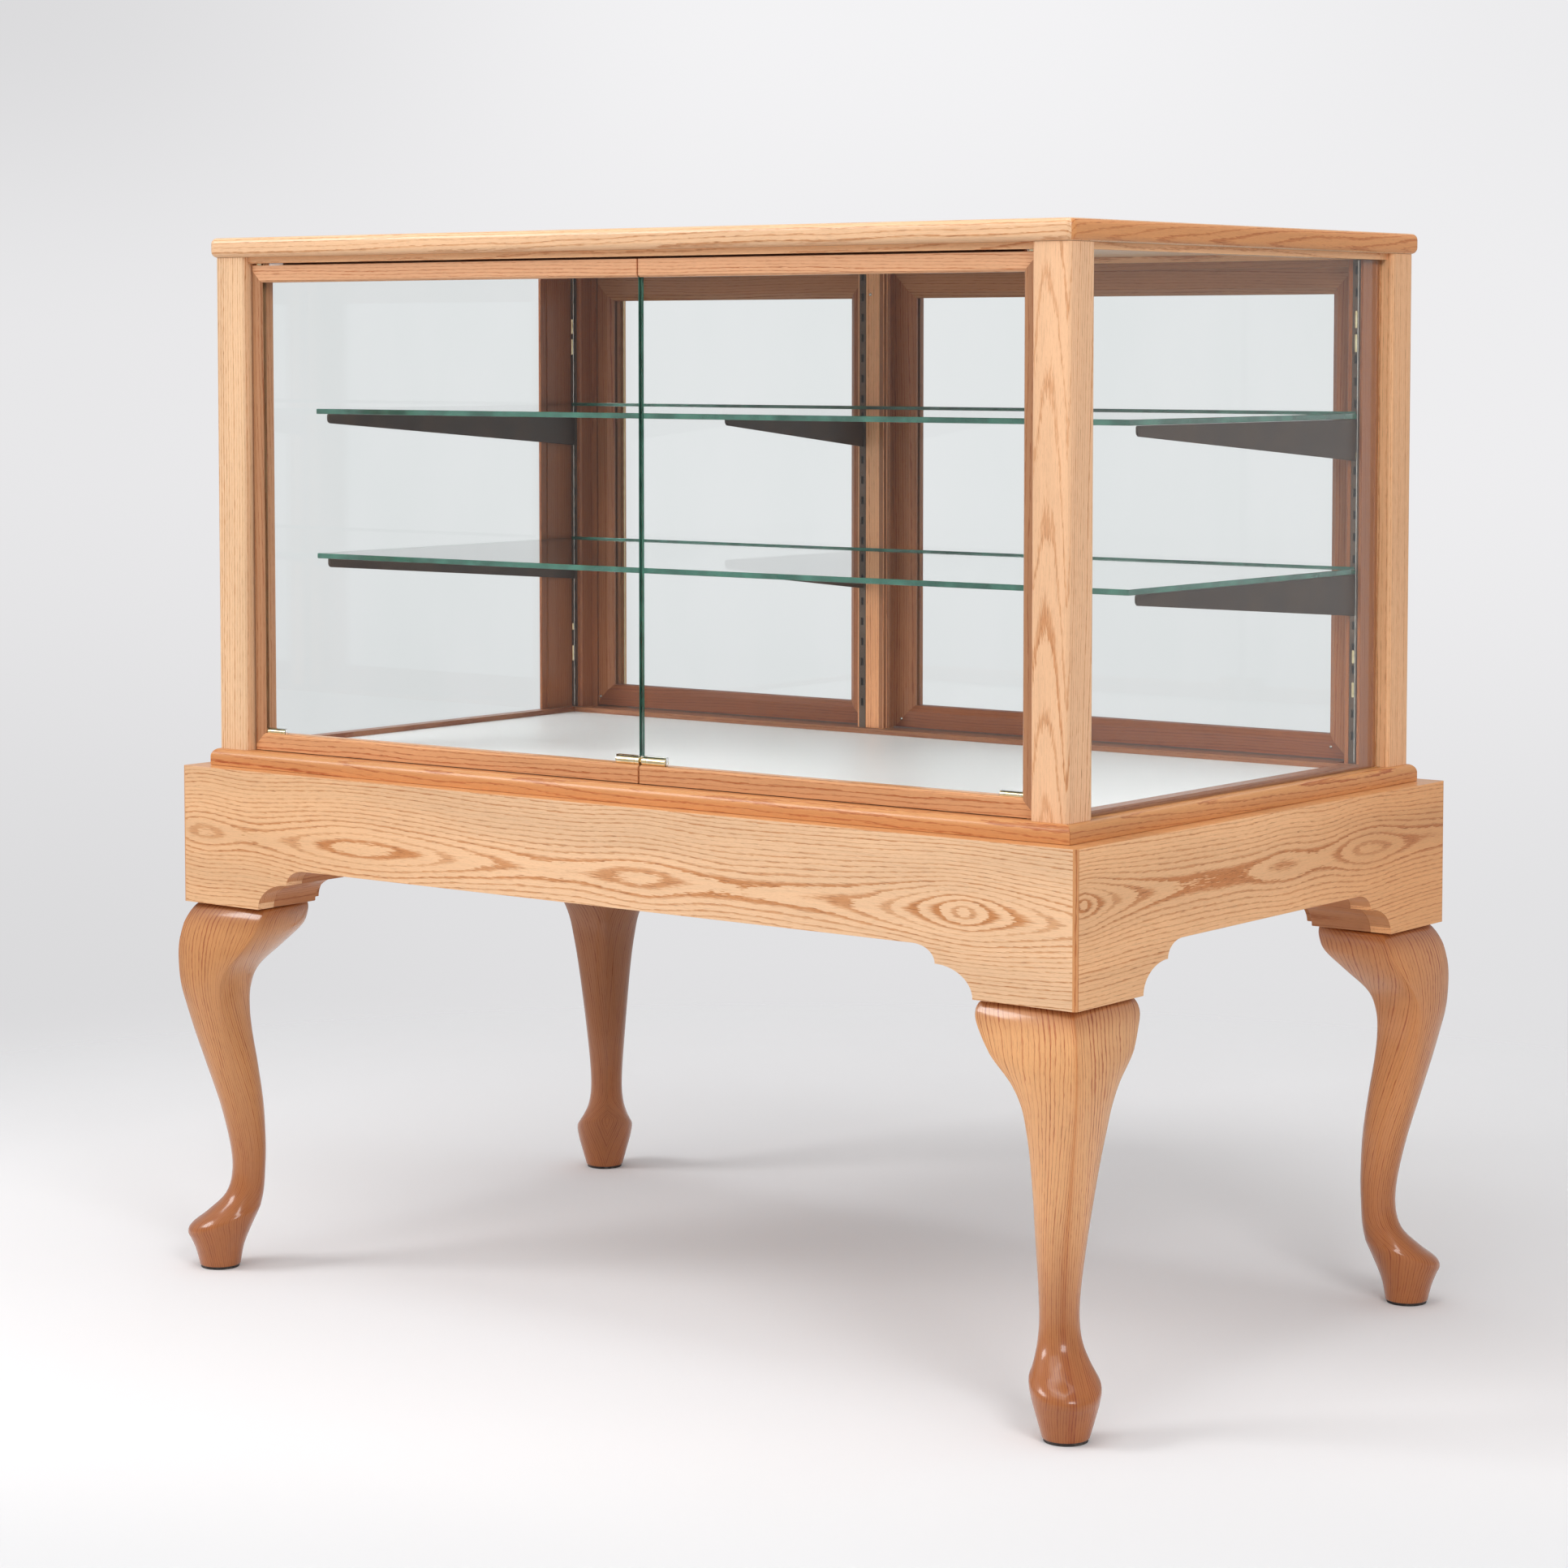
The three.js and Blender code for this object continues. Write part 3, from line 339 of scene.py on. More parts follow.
class Graph:
    """Adds nodes to a tree. An input is a number, a colour or another node's socket."""

    def __init__(self, tree):
        self.tree = tree

    def feed(self, socket, value):
        if isinstance(value, bpy.types.NodeSocket):
            self.tree.links.new(value, socket)
        else:
            socket.default_value = value

    def add(self, kind, inputs=None, **settings):
        node = self.tree.nodes.new(kind)
        for key, value in settings.items():
            setattr(node, key, value)
        for key, value in (inputs or {}).items():
            self.feed(node.inputs[key], value)
        return node

    def math(self, operation, *values):
        return self.add("ShaderNodeMath", dict(enumerate(values)), operation=operation).outputs[0]

    def times(self, first, second):
        return self.math("MULTIPLY", first, second)

    def plus(self, first, *others):
        for other in others:
            first = self.math("ADD", first, other)
        return first

    def scaled(self, value, factor, shift):
        return self.math("MULTIPLY_ADD", value, factor, shift)

    def step(self, value, start, end, low_value=0.0, high_value=1.0):
        return self.add("ShaderNodeMapRange", {
            "Value": value, "From Min": start, "From Max": end,
            "To Min": low_value, "To Max": high_value,
        }, interpolation_type="SMOOTHSTEP").outputs["Result"]

    def noise(self, vector, scales, detail, output="Fac"):
        """Noise at a scale of its own in each direction."""
        return self.add("ShaderNodeTexNoise", {
            "Vector": self.stretched(vector, *scales), "Scale": 1.0, "Detail": detail,
            "Roughness": 0.5,
        }).outputs[output]

    def vector(self, operation, *values):
        """A vector, or the number that a length or a dot product gives."""
        node = self.add("ShaderNodeVectorMath", dict(enumerate(values)), operation=operation)
        return node.outputs["Value" if operation in ("LENGTH", "DOT_PRODUCT") else "Vector"]

    def stretched(self, vector, along, across, depth):
        return self.vector("MULTIPLY", vector, (along, across, depth))

    def parts(self, vector):
        return self.add("ShaderNodeSeparateXYZ", {0: vector}).outputs

    def blend(self, factor, first, second, mode="MIX"):
        return self.add("ShaderNodeMix", {0: factor, 6: first, 7: second},
                        data_type="RGBA", blend_type=mode).outputs[2]

    def mixed(self, factor, first, second):
        return self.add("ShaderNodeMixShader", {0: factor, 1: first, 2: second}).outputs[0]

    def surface(self, shader, output="ShaderNodeOutputMaterial"):
        self.feed(self.add(output).inputs["Surface"], shader)


def new_material(name):
    material = bpy.data.materials.new(name)
    material.use_nodes = True
    material.node_tree.nodes.clear()
    return material, Graph(material.node_tree)


def principled(graph, inputs):
    return graph.add("ShaderNodeBsdfPrincipled", inputs).outputs[0]


def bumped(graph, height, distance, strength):
    return graph.add("ShaderNodeBump", {
        "Strength": strength, "Distance": distance, "Height": height,
    }).outputs["Normal"]


def object_place(graph):
    return graph.add("ShaderNodeTexCoord").outputs["Object"]


def rgb(red, green, blue):
    """A linear colour from one written in the usual 0 to 255 display values."""
    def linear(value):
        share = value / 255
        return share / 12.92 if share <= 0.04045 else ((share + 0.055) / 1.055) ** 2.4
    return (linear(red), linear(green), linear(blue), 1.0)


# Oak: growth rings round a pith, open pores in rows and a satin lacquer

oak_light = rgb(243, 201, 159)
oak_band = rgb(200, 131, 73)
oak_pore = rgb(126, 66, 32)
# Painted shade tone for the strip along each leg's outer ridge.
ridge_shade_tone = (0.86, 0.66, 0.45, 1.0)
# Painted shade tone for the tops of the knees under the apron.
knee_top_shade_tone = (0.70, 0.58, 0.50, 1.0)


def oak_figure_group():
    """Grain from a place on a board: along, across and depth from the pith, in metres."""
    tree = bpy.data.node_groups.new("oak_figure", "ShaderNodeTree")
    face = tree.interface
    for name, kind, value in (
        ("Place", "NodeSocketVector", None),
        ("Ring Width", "NodeSocketFloat", 0.0042),
        ("Taper", "NodeSocketFloat", 0.0),
        ("Bend", "NodeSocketFloat", 0.0),
        ("Wander", "NodeSocketFloat", 1.0),
        ("Flare", "NodeSocketFloat", 1.0),
        ("Light", "NodeSocketColor", oak_light),
        ("Band", "NodeSocketColor", oak_band),
    ):
        socket = face.new_socket(name, in_out="INPUT", socket_type=kind)
        if value is not None:
            socket.default_value = value
    for name, kind in (
        ("Color", "NodeSocketColor"), ("Roughness", "NodeSocketFloat"), ("Height", "NodeSocketFloat"),
    ):
        face.new_socket(name, in_out="OUTPUT", socket_type=kind)

    graph = Graph(tree)
    given = graph.add("NodeGroupInput").outputs
    place = given["Place"]
    parts = graph.parts(place)

    slow = graph.noise(place, (2.2, 9.0, 9.0), 3.0, "Color")
    drift = graph.add("ShaderNodeSeparateColor", {0: slow}).outputs
    sway = graph.times(given["Wander"], 0.016)
    across = graph.plus(parts[1], graph.times(graph.scaled(drift[0], 1.0, -0.5), sway))
    depth = graph.plus(parts[2], graph.times(graph.scaled(drift[1], 1.0, -0.5), sway))
    radius = graph.math("SQRT", graph.plus(graph.times(across, across), graph.times(depth, depth)))

    teeth = graph.noise(place, (75.0, 950.0, 950.0), 1.0)
    ripple = graph.noise(place, (9.0, 60.0, 60.0), 2.0)
    ring = graph.plus(
        graph.math("DIVIDE", radius, given["Ring Width"]), graph.times(given["Taper"], parts[0]),
        given["Bend"], graph.scaled(teeth, 0.55, -0.275), graph.scaled(ripple, 0.5, -0.25))

    share = graph.math("FRACT", ring)
    year = graph.add("ShaderNodeTexWhiteNoise", {"W": graph.math("FLOOR", ring)},
                     noise_dimensions="1D").outputs["Value"]
    aside = graph.math("DIVIDE", graph.math("ABSOLUTE", across), radius)
    flat = graph.math("SUBTRACT", 1.0, aside)
    flat = graph.times(graph.times(flat, flat), given["Flare"])
    fade_end = graph.plus(graph.scaled(year, 0.26, 0.22), graph.times(flat, 0.34))
    fade_start = graph.scaled(flat, 0.22, 0.10)
    rise = graph.step(share, 0.0, 0.08)
    fall = graph.step(share, fade_start, fade_end, 1.0, 0.0)
    strength = graph.plus(graph.scaled(year, 0.46, 0.36), graph.times(flat, 0.18))
    band = graph.times(graph.times(rise, fall), strength)

    pores = graph.step(graph.noise(place, (70.0, 1250.0, 1250.0), 2.0), 0.56, 0.68)
    pores = graph.times(pores, graph.scaled(band, 0.78, 0.22))
    fine_pores = graph.step(graph.noise(place, (150.0, 2600.0, 2600.0), 1.0), 0.58, 0.72)
    fine_pores = graph.times(fine_pores, graph.scaled(band, 0.3, 0.25))
    pitted = graph.math("MAXIMUM", pores, fine_pores)

    colour = graph.blend(band, given["Light"], given["Band"])
    colour = graph.blend(graph.times(pitted, 0.64), colour, oak_pore)
    patch = graph.noise(place, (1.6, 14.0, 14.0), 3.0)
    tone = graph.step(patch, 0.3, 0.7, 0.90, 1.06)
    fibre = graph.noise(place, (18.0, 900.0, 900.0), 3.0)
    tone = graph.times(tone, graph.scaled(fibre, 0.20, 0.90))
    toned = graph.add("ShaderNodeVectorMath", {0: colour, "Scale": tone}, operation="SCALE")

    graph.add("NodeGroupOutput", {
        "Color": toned.outputs["Vector"],
        "Roughness": graph.plus(graph.scaled(pitted, 0.22, 0.40), graph.times(band, 0.05)),
        "Height": graph.plus(graph.scaled(pitted, -0.8, 0.8), graph.times(fibre, 0.2)),
    })
    return tree


oak_group = oak_figure_group()


def hump(graph, place, at, reach, rings, pointed):
    """Rings that close round a spot on the face: a smooth swell, or a pointed one."""
    away = graph.vector("SUBTRACT", place, (*at, 0.0))
    spread = graph.stretched(away, 1 / (reach[0] * mm), 1 / (reach[1] * mm), 0.0)
    length = graph.vector("LENGTH", spread)
    fall = length if pointed else graph.times(length, length)
    return graph.times(graph.math("EXPONENT", graph.times(fall, -1.0)), -rings)


def shaded(colour, tone):
    return tuple(a * b for a, b in zip(colour, (*tone, 1.0)))


def eased(first, second, share):
    return tuple(a + (b - a) * share for a, b in zip(first, second))


def toned(graph, parts, colour, tone, ramp):
    """A wood colour times a tone, which a ramp (axis, start, end, tone) may turn to another."""
    if not ramp:
        return shaded(colour, tone)
    axis, start, end, last = ramp
    along = graph.step(parts[axis], start, end)
    return graph.blend(along, shaded(colour, tone), shaded(colour, last))


def oak(name, grain, pith, ring=4.2 * mm, taper=0.0, wander=1.0, tone=(1.0, 1.0, 1.0), humps=(),
        ramp=None, gloss=0.3, contrast=1.0, flare=0.2):
    """Lacquered oak. grain is the axis that it runs along, or "form" to follow a grain map,
    and pith is the place of the pith in the other two axes: X and Y for upright grain, and
    otherwise Z comes first."""
    material, graph = new_material(name)
    parts = graph.parts(object_place(graph))
    if grain == "form":
        spread = graph.parts(graph.add("ShaderNodeUVMap", uv_map=grain_map).outputs[0])
        along, across, depth = spread[1], spread[0], 0.0
    else:
        order = {"x": (0, 2, 1), "y": (1, 2, 0), "z": (2, 0, 1)}[grain]
        along, across, depth = (parts[k] for k in order)
    place = graph.add("ShaderNodeCombineXYZ", {
        0: along,
        1: graph.math("SUBTRACT", across, pith[0]),
        2: graph.math("SUBTRACT", depth, pith[1]),
    }).outputs[0]
    bend = 0.0
    for at, reach, rings, pointed in humps:
        at = (at[0] * mm, at[1] * mm - pith[0])
        bend = graph.plus(bend, hump(graph, place, at, reach, rings, pointed))
    figure = graph.add("ShaderNodeGroup", node_tree=oak_group)
    for key, value in (
        ("Place", place), ("Ring Width", ring), ("Taper", taper), ("Bend", bend),
        ("Wander", wander), ("Flare", flare),
        ("Light", toned(graph, parts, oak_light, tone, ramp)),
        ("Band", toned(graph, parts, eased(oak_light, oak_band, contrast), tone, ramp)),
    ):
        graph.feed(figure.inputs[key], value)
    colour = figure.outputs["Color"]
    if grain == "form":
        # Painted shade: the wood is darker along the leg's outer ridge.
        away = graph.times(across, 1 / ridge_shade_width)
        near_ridge = graph.math("EXPONENT", graph.times(graph.times(away, away), -1.0))
        ridge_shade = graph.times(near_ridge, ridge_shade_share)
        colour = graph.blend(ridge_shade, colour, ridge_shade_tone, "MULTIPLY")
        # Painted shade: the knee's top is darker where it sits under the apron.
        knee_top_shade = graph.step(parts[2], *knee_top_shade_span)
        colour = graph.blend(knee_top_shade, colour, knee_top_shade_tone, "MULTIPLY")
    graph.surface(principled(graph, {
        "Specular IOR Level": 0.30, "Coat Weight": gloss, "Coat Roughness": 0.14, "Coat IOR": 1.45,
        "Base Color": colour,
        "Roughness": figure.outputs["Roughness"],
        "Normal": bumped(graph, figure.outputs["Height"], 0.12 * mm, 0.55),
    }))
    return material


# Other materials

def clear_glass(name):
    """Float glass that lets lamp light through, with faint wiping marks."""
    material, graph = new_material(name)
    wipes = graph.noise(object_place(graph), (9.0, 9.0, 4.0), 4.0)
    tint = graph.blend(graph.step(wipes, 0.35, 0.7), (0.955, 0.972, 0.968, 1.0), (0.94, 0.962, 0.956, 1.0))
    shader = principled(
        graph, {"IOR": 1.28, "Transmission Weight": 1.0, "Roughness": 0.0, "Base Color": tint})
    let_through = graph.add("ShaderNodeBsdfTransparent", {"Color": (0.985, 0.992, 0.99, 1.0)})
    shadow = graph.add("ShaderNodeLightPath").outputs["Is Shadow Ray"]
    graph.surface(graph.mixed(shadow, shader, let_through.outputs[0]))
    return material


def finish_of(name, constants, cloud, span, colours, roughness, bump, texture=None):
    """A finish whose colour and sheen drift with a cloud, under a fine texture.
    cloud and texture give a noise's scales and detail, and span the part of the cloud in
    which the first colour turns to the second. roughness gives a share of the cloud and a
    start, and bump gives a distance and a strength."""
    material, graph = new_material(name)
    place = object_place(graph)
    drift = graph.noise(place, *cloud)
    height = graph.noise(place, *texture) if texture else drift
    inputs = {
        **constants,
        "Base Color": graph.blend(graph.step(drift, *span), *colours),
        "Normal": bumped(graph, height, *bump),
    }
    if roughness:
        inputs["Roughness"] = graph.scaled(drift, *roughness)
    graph.surface(principled(graph, inputs))
    return material


def even(scale):
    return (scale, scale, scale)


def glass_edge(name):
    """The polished green edge of a sheet of glass."""
    return finish_of(
        name, {"Roughness": 0.12, "Coat Weight": 0.6, "Coat Roughness": 0.05},
        (even(30.0), 3.0), (0.3, 0.7), (rgb(30, 82, 68), rgb(58, 118, 100)),
        None, (0.05 * mm, 0.4))


def laminate(name):
    """White laminate with a very fine stipple and a little unevenness."""
    return finish_of(
        name, {"Specular IOR Level": 0.4},
        (even(3.0), 3.0), (0.35, 0.65), (rgb(251, 251, 252), rgb(253, 253, 254)),
        (0.10, 0.36), (0.02 * mm, 0.5), (even(900.0), 2.0))


def painted_steel(name, dark, light):
    """Brown paint with orange peel and thin spots."""
    return finish_of(
        name, {"Metallic": 0.25, "Specular IOR Level": 0.5},
        (even(18.0), 4.0), (0.35, 0.7), (dark, light),
        (0.18, 0.30), (0.03 * mm, 0.5), (even(420.0), 2.0))


def pale_brass(name, bright, smeared):
    """Polished metal with fine turning lines and light smears."""
    return finish_of(
        name, {"Metallic": 1.0},
        (even(90.0), 3.0), (0.35, 0.7), (bright, smeared),
        (0.16, 0.14), (0.01 * mm, 0.15), ((2600.0, 60.0, 60.0), 2.0))


def dark_rubber(name):
    """Dark moulded glide with a dusty face."""
    return finish_of(
        name, {},
        (even(160.0), 4.0), (0.4, 0.75), (rgb(44, 38, 35), rgb(92, 84, 78)),
        (0.25, 0.55), (0.06 * mm, 0.5))


glass = clear_glass("glass")
green_edge = glass_edge("glass_edge")
white_laminate = laminate("white_laminate")
bronze = painted_steel("bronze_paint", rgb(54, 38, 28), rgb(70, 52, 39))
standard_paint = painted_steel("standard_paint", rgb(84, 66, 54), rgb(106, 86, 72))
# Painted shade for the plates seen through the standards' slots.
slot_shade_paint = painted_steel("slot_shade_paint", rgb(26, 19, 15), rgb(38, 29, 24))
brass = pale_brass("pale_brass", rgb(244, 230, 192), rgb(228, 208, 160))
steel = pale_brass("bright_steel", rgb(206, 204, 198), rgb(186, 183, 176))
rubber = dark_rubber("dark_rubber")


# The four sides of the stand: each turns the front side's frame about Z

side_turns = {"front": 0, "right": 90, "back": 180, "left": 270}


def side_reach(side):
    return half_depth if side in ("front", "back") else half_length


def side_half(side):
    return half_length if side in ("front", "back") else half_depth


def turned_to(side):
    return turn(side_turns[side], "Z")


def on_side(side, x, inward, z):
    """A place on one side: x along it and a distance in from its face."""
    return turned_to(side) @ Vector((x, inward - side_reach(side), z))


def face_outside(edge, side):
    """Whether an edge lies on the outer face of its side."""
    back = turned_to(side).inverted()
    return all((back @ vert.co).y + side_reach(side) < hair for vert in edge.verts)


def apron_outline(half):
    """Half of the lower edge steps up in two coves, and the other half mirrors it."""
    lower_start = half - apron_land
    upper_start = lower_start - lower_cove[0]
    arch_end = upper_start - upper_cove[0]
    right = (
        [(half, 0.0)]
        + arc((upper_start, 0.0), lower_cove, 0, 90, cove_steps)
        + arc((arch_end, lower_cove[1]), upper_cove, 0, 90, cove_steps)
    )
    left = [(-x, z) for x, z in reversed(right)]
    tall = apron_top - apron_bottom
    return right + left + [(-half, tall), (half, tall)]


def rounded_ends(work, side, half):
    """Rounds both mitred tips, so that two aprons meet in one round corner."""
    for end in (-1, 1):
        for degrees in (15, 30, 45):
            angle = math.radians(degrees)
            outward = turned_to(side) @ Vector((end * math.sin(angle), -math.cos(angle), 0.0))
            centre = on_side(side, end * (half - apron_arris), apron_arris, 0.0)
            cut = cut_along(work, centre + outward * apron_arris, outward, clear=True)
            rim = [part for part in cut if isinstance(part, bmesh.types.BMEdge)]
            bmesh.ops.holes_fill(work, edges=rim, sides=0)
    return work


def apron(side):
    half = side_half(side)
    outline = apron_outline(half)
    faces = []
    for inward in (0.0, apron_thickness):
        face = []
        for x, z in outline:
            end = abs(x) > half - mm
            mitred = math.copysign(half - inward, x) if end else x
            face.append(on_side(side, mitred, inward, apron_bottom + z))
        faces.append(face)

    def along_top(edge):
        return face_outside(edge, side) and all(vert.co.z > apron_top - hair for vert in edge.verts)

    def outside(edge):
        return face_outside(edge, side)

    def wood_at(_centre, normal):
        """The face is 0, the round corner 1, the ledge on top 2, and the coves and lower edges that look
        down 3, whose darker wood is painted shade.
        """
        if normal.z > 0.9:
            return 2
        if normal.z < -0.25:
            return 3
        return 1 if min(abs(normal.x), abs(normal.y)) > 0.25 and abs(normal.z) < 0.3 else 0

    work = rounded_ends(lofted(faces), side, half)
    work = softened(work, apron_top_round, 4, only=along_top)
    return painted(softened(work, apron_edge_round, 3, sharper_than=35, only=outside), wood_at)


front_pith = (apron_top - 73 * mm, 25 * mm - half_depth)
# Flames in millimetres: place, reach, how many rings they bend, and whether they are pointed
front_flames = (
    ((-325, 507), (150, 200), 3.2, False), ((-577, 514), (50, 200), 1.6, False),
    ((73, 517), (70, 200), 1.2, False), ((479, 510), (85, 60), 5.0, True),
)
side_flames = (
    ((-356, 527), (60, 60), 4.0, True), ((22, 526), (60, 200), 1.0, False),
    ((200, 520), (70, 200), 1.4, False),
)
front_tone = (0.96, 0.87, 0.78)
front_ramp = (0, -0.50, 0.0, (1.04, 1.01, 1.0))
side_tone = (1.08, 0.93, 0.78)
# The right apron darkens towards the back: painted shade where the lamps' light falls off.
side_shade_ramp = (1, -0.10, 0.30, (0.94, 0.70, 0.48))
apron_woods = {
    side: oak(f"oak_apron_{side}", grain, pith, taper=taper, tone=tone, humps=flames, ramp=ramp, flare=1.0)
    for side, grain, pith, taper, tone, flames, ramp in (
        ("front", "x", front_pith, 0.0, front_tone, front_flames, front_ramp),
        ("back", "x", (500 * mm, half_depth - 30 * mm), 5.0, front_tone, (), None),
        ("right", "y", (524 * mm, half_length - 25 * mm), 0.0, side_tone, side_flames, side_shade_ramp),
        ("left", "y", (495 * mm, 28 * mm - half_length), 6.0, side_tone, (), None),
    )
}
# The cove wood is darker: painted shade on the apron faces that look down.
apron_edge_woods = [
    oak(f"oak_apron_{part}", grain, (0.70, 0.45), 3.0 * mm, tone=tone, gloss=0.5)
    for part, grain, tone in (
        ("arris", "z", (0.86, 0.60, 0.40)), ("ledge", "x", (0.97, 0.75, 0.52)),
        ("cove", "x", (0.72, 0.47, 0.29)),
    )
]
for side in side_turns:
    fine(f"apron_{side}", apron(side), [apron_woods[side], *apron_edge_woods])


# Corner blocks: two arms that carry the aprons' coves back over the knee

def cove_profile(start):
    """(distance from the corner, rise) round one arm, from a start under the land."""
    outline = apron_outline(half_length)
    rising = [(half_length - x, z) for x, z in outline if x > 0 and z < apron_top - apron_bottom]
    tallest = rising[-1][1] + block_spare
    return [(start, 0.0)] + rising[1:] + [(rising[-1][0], tallest), (start, tallest)]


def block_arm(sx, sy, start, near, far, along_x):
    """An arm whose profile runs along X or Y, between two depths in the other direction."""
    sections = []
    for depth in (near, far):
        section = []
        for distance, rise in cove_profile(start):
            inward = (distance, depth) if along_x else (depth, distance)
            section.append((
                sx * (half_length - inward[0]), sy * (half_depth - inward[1]), apron_bottom + rise))
        sections.append(section)
    return softened(lofted(sections), block_round, 3, sharper_than=45)


def corner_block(sx, sy):
    inside = apron_thickness + close_gap
    first = block_arm(sx, sy, inside, inside, block_depth_y, True)
    second = block_arm(sx, sy, block_depth_y, inside, block_depth_x, False)
    return joined_to(first, second)


corner_signs = {"front_left": (-1, -1), "front_right": (1, -1), "back_right": (1, 1), "back_left": (-1, 1)}
block_tone = (0.58, 0.35, 0.21)
for corner, (sx, sy) in corner_signs.items():
    axis = "y" if sy < 0 else "x"
    wood = oak(f"oak_block_{corner}", axis, (0.55, 0.42), 3.4 * mm, 3.0, tone=block_tone)
    store(f"corner_block_{corner}", corner_block(sx, sy), "apron_front", [wood])


# Base moulding: mitred lengths with a round top edge

moulding_low = low("base_moulding_front").z
moulding_high = high("base_moulding_front").z
moulding_inset = low("base_moulding_front").y + half_depth
moulding_width = high("base_moulding_front").y - low("base_moulding_front").y
pane_thickness = high("side_glass_right").x - low("side_glass_right").x
pane_inset = half_length - high("side_glass_right").x


def moulding_profile(grooved):
    """(inset from the moulding's face, height) points of its section."""
    tall = moulding_high - moulding_low
    wide, deep = moulding_round
    points = [(0.0, 0.0)]
    points += arc((wide, tall - deep), (wide, deep), 180, 90, moulding_steps)
    if grooved:
        near = pane_inset - moulding_inset - seat_gap
        far = near + pane_thickness + 2 * seat_gap
        points += [(near, tall), (near, tall - groove_depth)]
        points += [(far, tall - groove_depth), (far, tall)]
    points += [(moulding_width, tall), (moulding_width, 0.0)]
    return points


def moulding(side):
    half = side_half(side) - moulding_inset
    profile = moulding_profile(side in ("right", "left"))
    sections = [
        [on_side(side, end * (half - p), moulding_inset + p, moulding_low + z) for p, z in profile]
        for end in (-1, 1)
    ]
    return softened(lofted(sections), moulding_foot_round, 2, sharper_than=60)


moulding_tone = (0.79, 0.55, 0.34)
moulding_side_tone = (0.82, 0.57, 0.34)
moulding_woods = {
    side: oak(f"oak_moulding_{side}", grain, pith, 3.6 * mm, taper, tone=tone, contrast=1.4)
    for side, grain, pith, taper, tone in (
        ("front", "x", (0.55, -0.28), 4.0, moulding_tone), ("back", "x", (0.54, 0.29), 5.0, moulding_tone),
        ("right", "y", (0.53, 0.53), 3.0, moulding_side_tone),
        ("left", "y", (0.54, -0.52), 4.0, moulding_side_tone),
    )
}
for side in side_turns:
    fine(f"base_moulding_{side}", moulding(side), [moulding_woods[side]])


# Legs: one cabriole form, lofted up a list of stations. Each row gives the height of the
# section's middle, then its outer edge, inner edge, width and tilt, then how much of its
# depth lies outside its widest line, and how round it is outside and inside.
# Heights and tilts are shares of the leg's height. The rest are shares of the knee's
# width, with the edges measured out along the diagonal from the corner of the apron.
leg_shares = [
    (0.9988, -0.134, -0.829, 0.85, 0, 0.6, 1.12, 1.25),
    (0.991, -0.091, -0.86, 0.945, 0, 0.6, 1.12, 1.25),
    (0.965, -0.035, -0.86, 1, 0, 0.6, 1.12, 1.25),
    (0.929, 0.01, -0.82, 0.965, 0, 0.6, 1.12, 1.25),
    (0.878, 0.036, -0.68, 0.86, 0, 0.6, 1.14, 1.28),
    (0.821, 0.036, -0.52, 0.66, 0, 0.58, 1.18, 1.32),
    (0.767, 0.02, -0.462, 0.545, 0, 0.55, 1.24, 1.38),
    (0.706, -0.022, -0.452, 0.48, 0, 0.53, 1.32, 1.46),
    (0.638, -0.074, -0.468, 0.424, 0, 0.52, 1.44, 1.6),
    (0.546, -0.152, -0.506, 0.366, 0, 0.5, 1.65, 1.8),
    (0.435, -0.244, -0.543, 0.305, 0, 0.5, 1.95, 2),
    (0.325, -0.308, -0.555, 0.254, 0, 0.5, 2, 2),
    (0.252, -0.317, -0.549, 0.243, 0.002, 0.5, 2, 2),
    (0.202, -0.27, -0.542, 0.274, 0.01, 0.5, 2, 2),
    (0.165, -0.14, -0.532, 0.335, 0.021, 0.5, 2, 2),
    (0.141, -0.035, -0.522, 0.39, 0.028, 0.5, 2, 2),
    (0.122, -0.008, -0.51, 0.43, 0.031, 0.5, 2, 2),
    (0.09, -0.034, -0.46, 0.41, 0.021, 0.5, 2, 2),
    (0.047, -0.064, -0.4, 0.352, 0.007, 0.5, 2, 2),
    (0, -0.09, -0.372, 0.282, 0, 0.5, 2, 2),
]
leg_top = apron_bottom
leg_bottom = low("leg_front_left").z


def station_at(rows, at):
    """One row of stations, eased smoothly between its neighbours."""
    i = min(int(at), len(rows) - 2)
    t = at - i
    before = rows[max(i - 1, 0)]
    after = rows[min(i + 2, len(rows) - 1)]
    row = []
    for k, value in enumerate(rows[i]):
        following = rows[i + 1][k]
        slope_in = (following - before[k]) / 2
        slope_out = (after[k] - value) / 2
        bend = 2 * (value - following) + slope_in + slope_out
        curve = 3 * (following - value) - 2 * slope_in - slope_out
        row.append(value + t * (slope_in + t * (curve + t * bend)))
    return row


def leg_ring(row):
    rise, outer, inner, width, tilt, front, outer_round, inner_round = row
    depth = (outer - inner) * knee_width
    middle = (outer + inner) / 2 * knee_width
    widest = outer * knee_width - front * depth
    tallness = leg_top - leg_bottom
    ring = []
    for k in range(leg_ring_points):
        angle = 2 * math.pi * k / leg_ring_points
        c, s = math.cos(angle), math.sin(angle)
        power = 2 / (outer_round if c > 0 else inner_round)
        along = (front if c > 0 else 1 - front) * depth
        out = widest + math.copysign(abs(c) ** power, c) * along
        across = math.copysign(abs(s) ** power, s) * width * knee_width / 2
        lean = 2 * tilt * tallness * (middle - out) / depth
        ring.append(Vector((
            (out + across) / math.sqrt(2),
            (out - across) / math.sqrt(2),
            leg_bottom + rise * tallness + lean,
        )))
    return ring


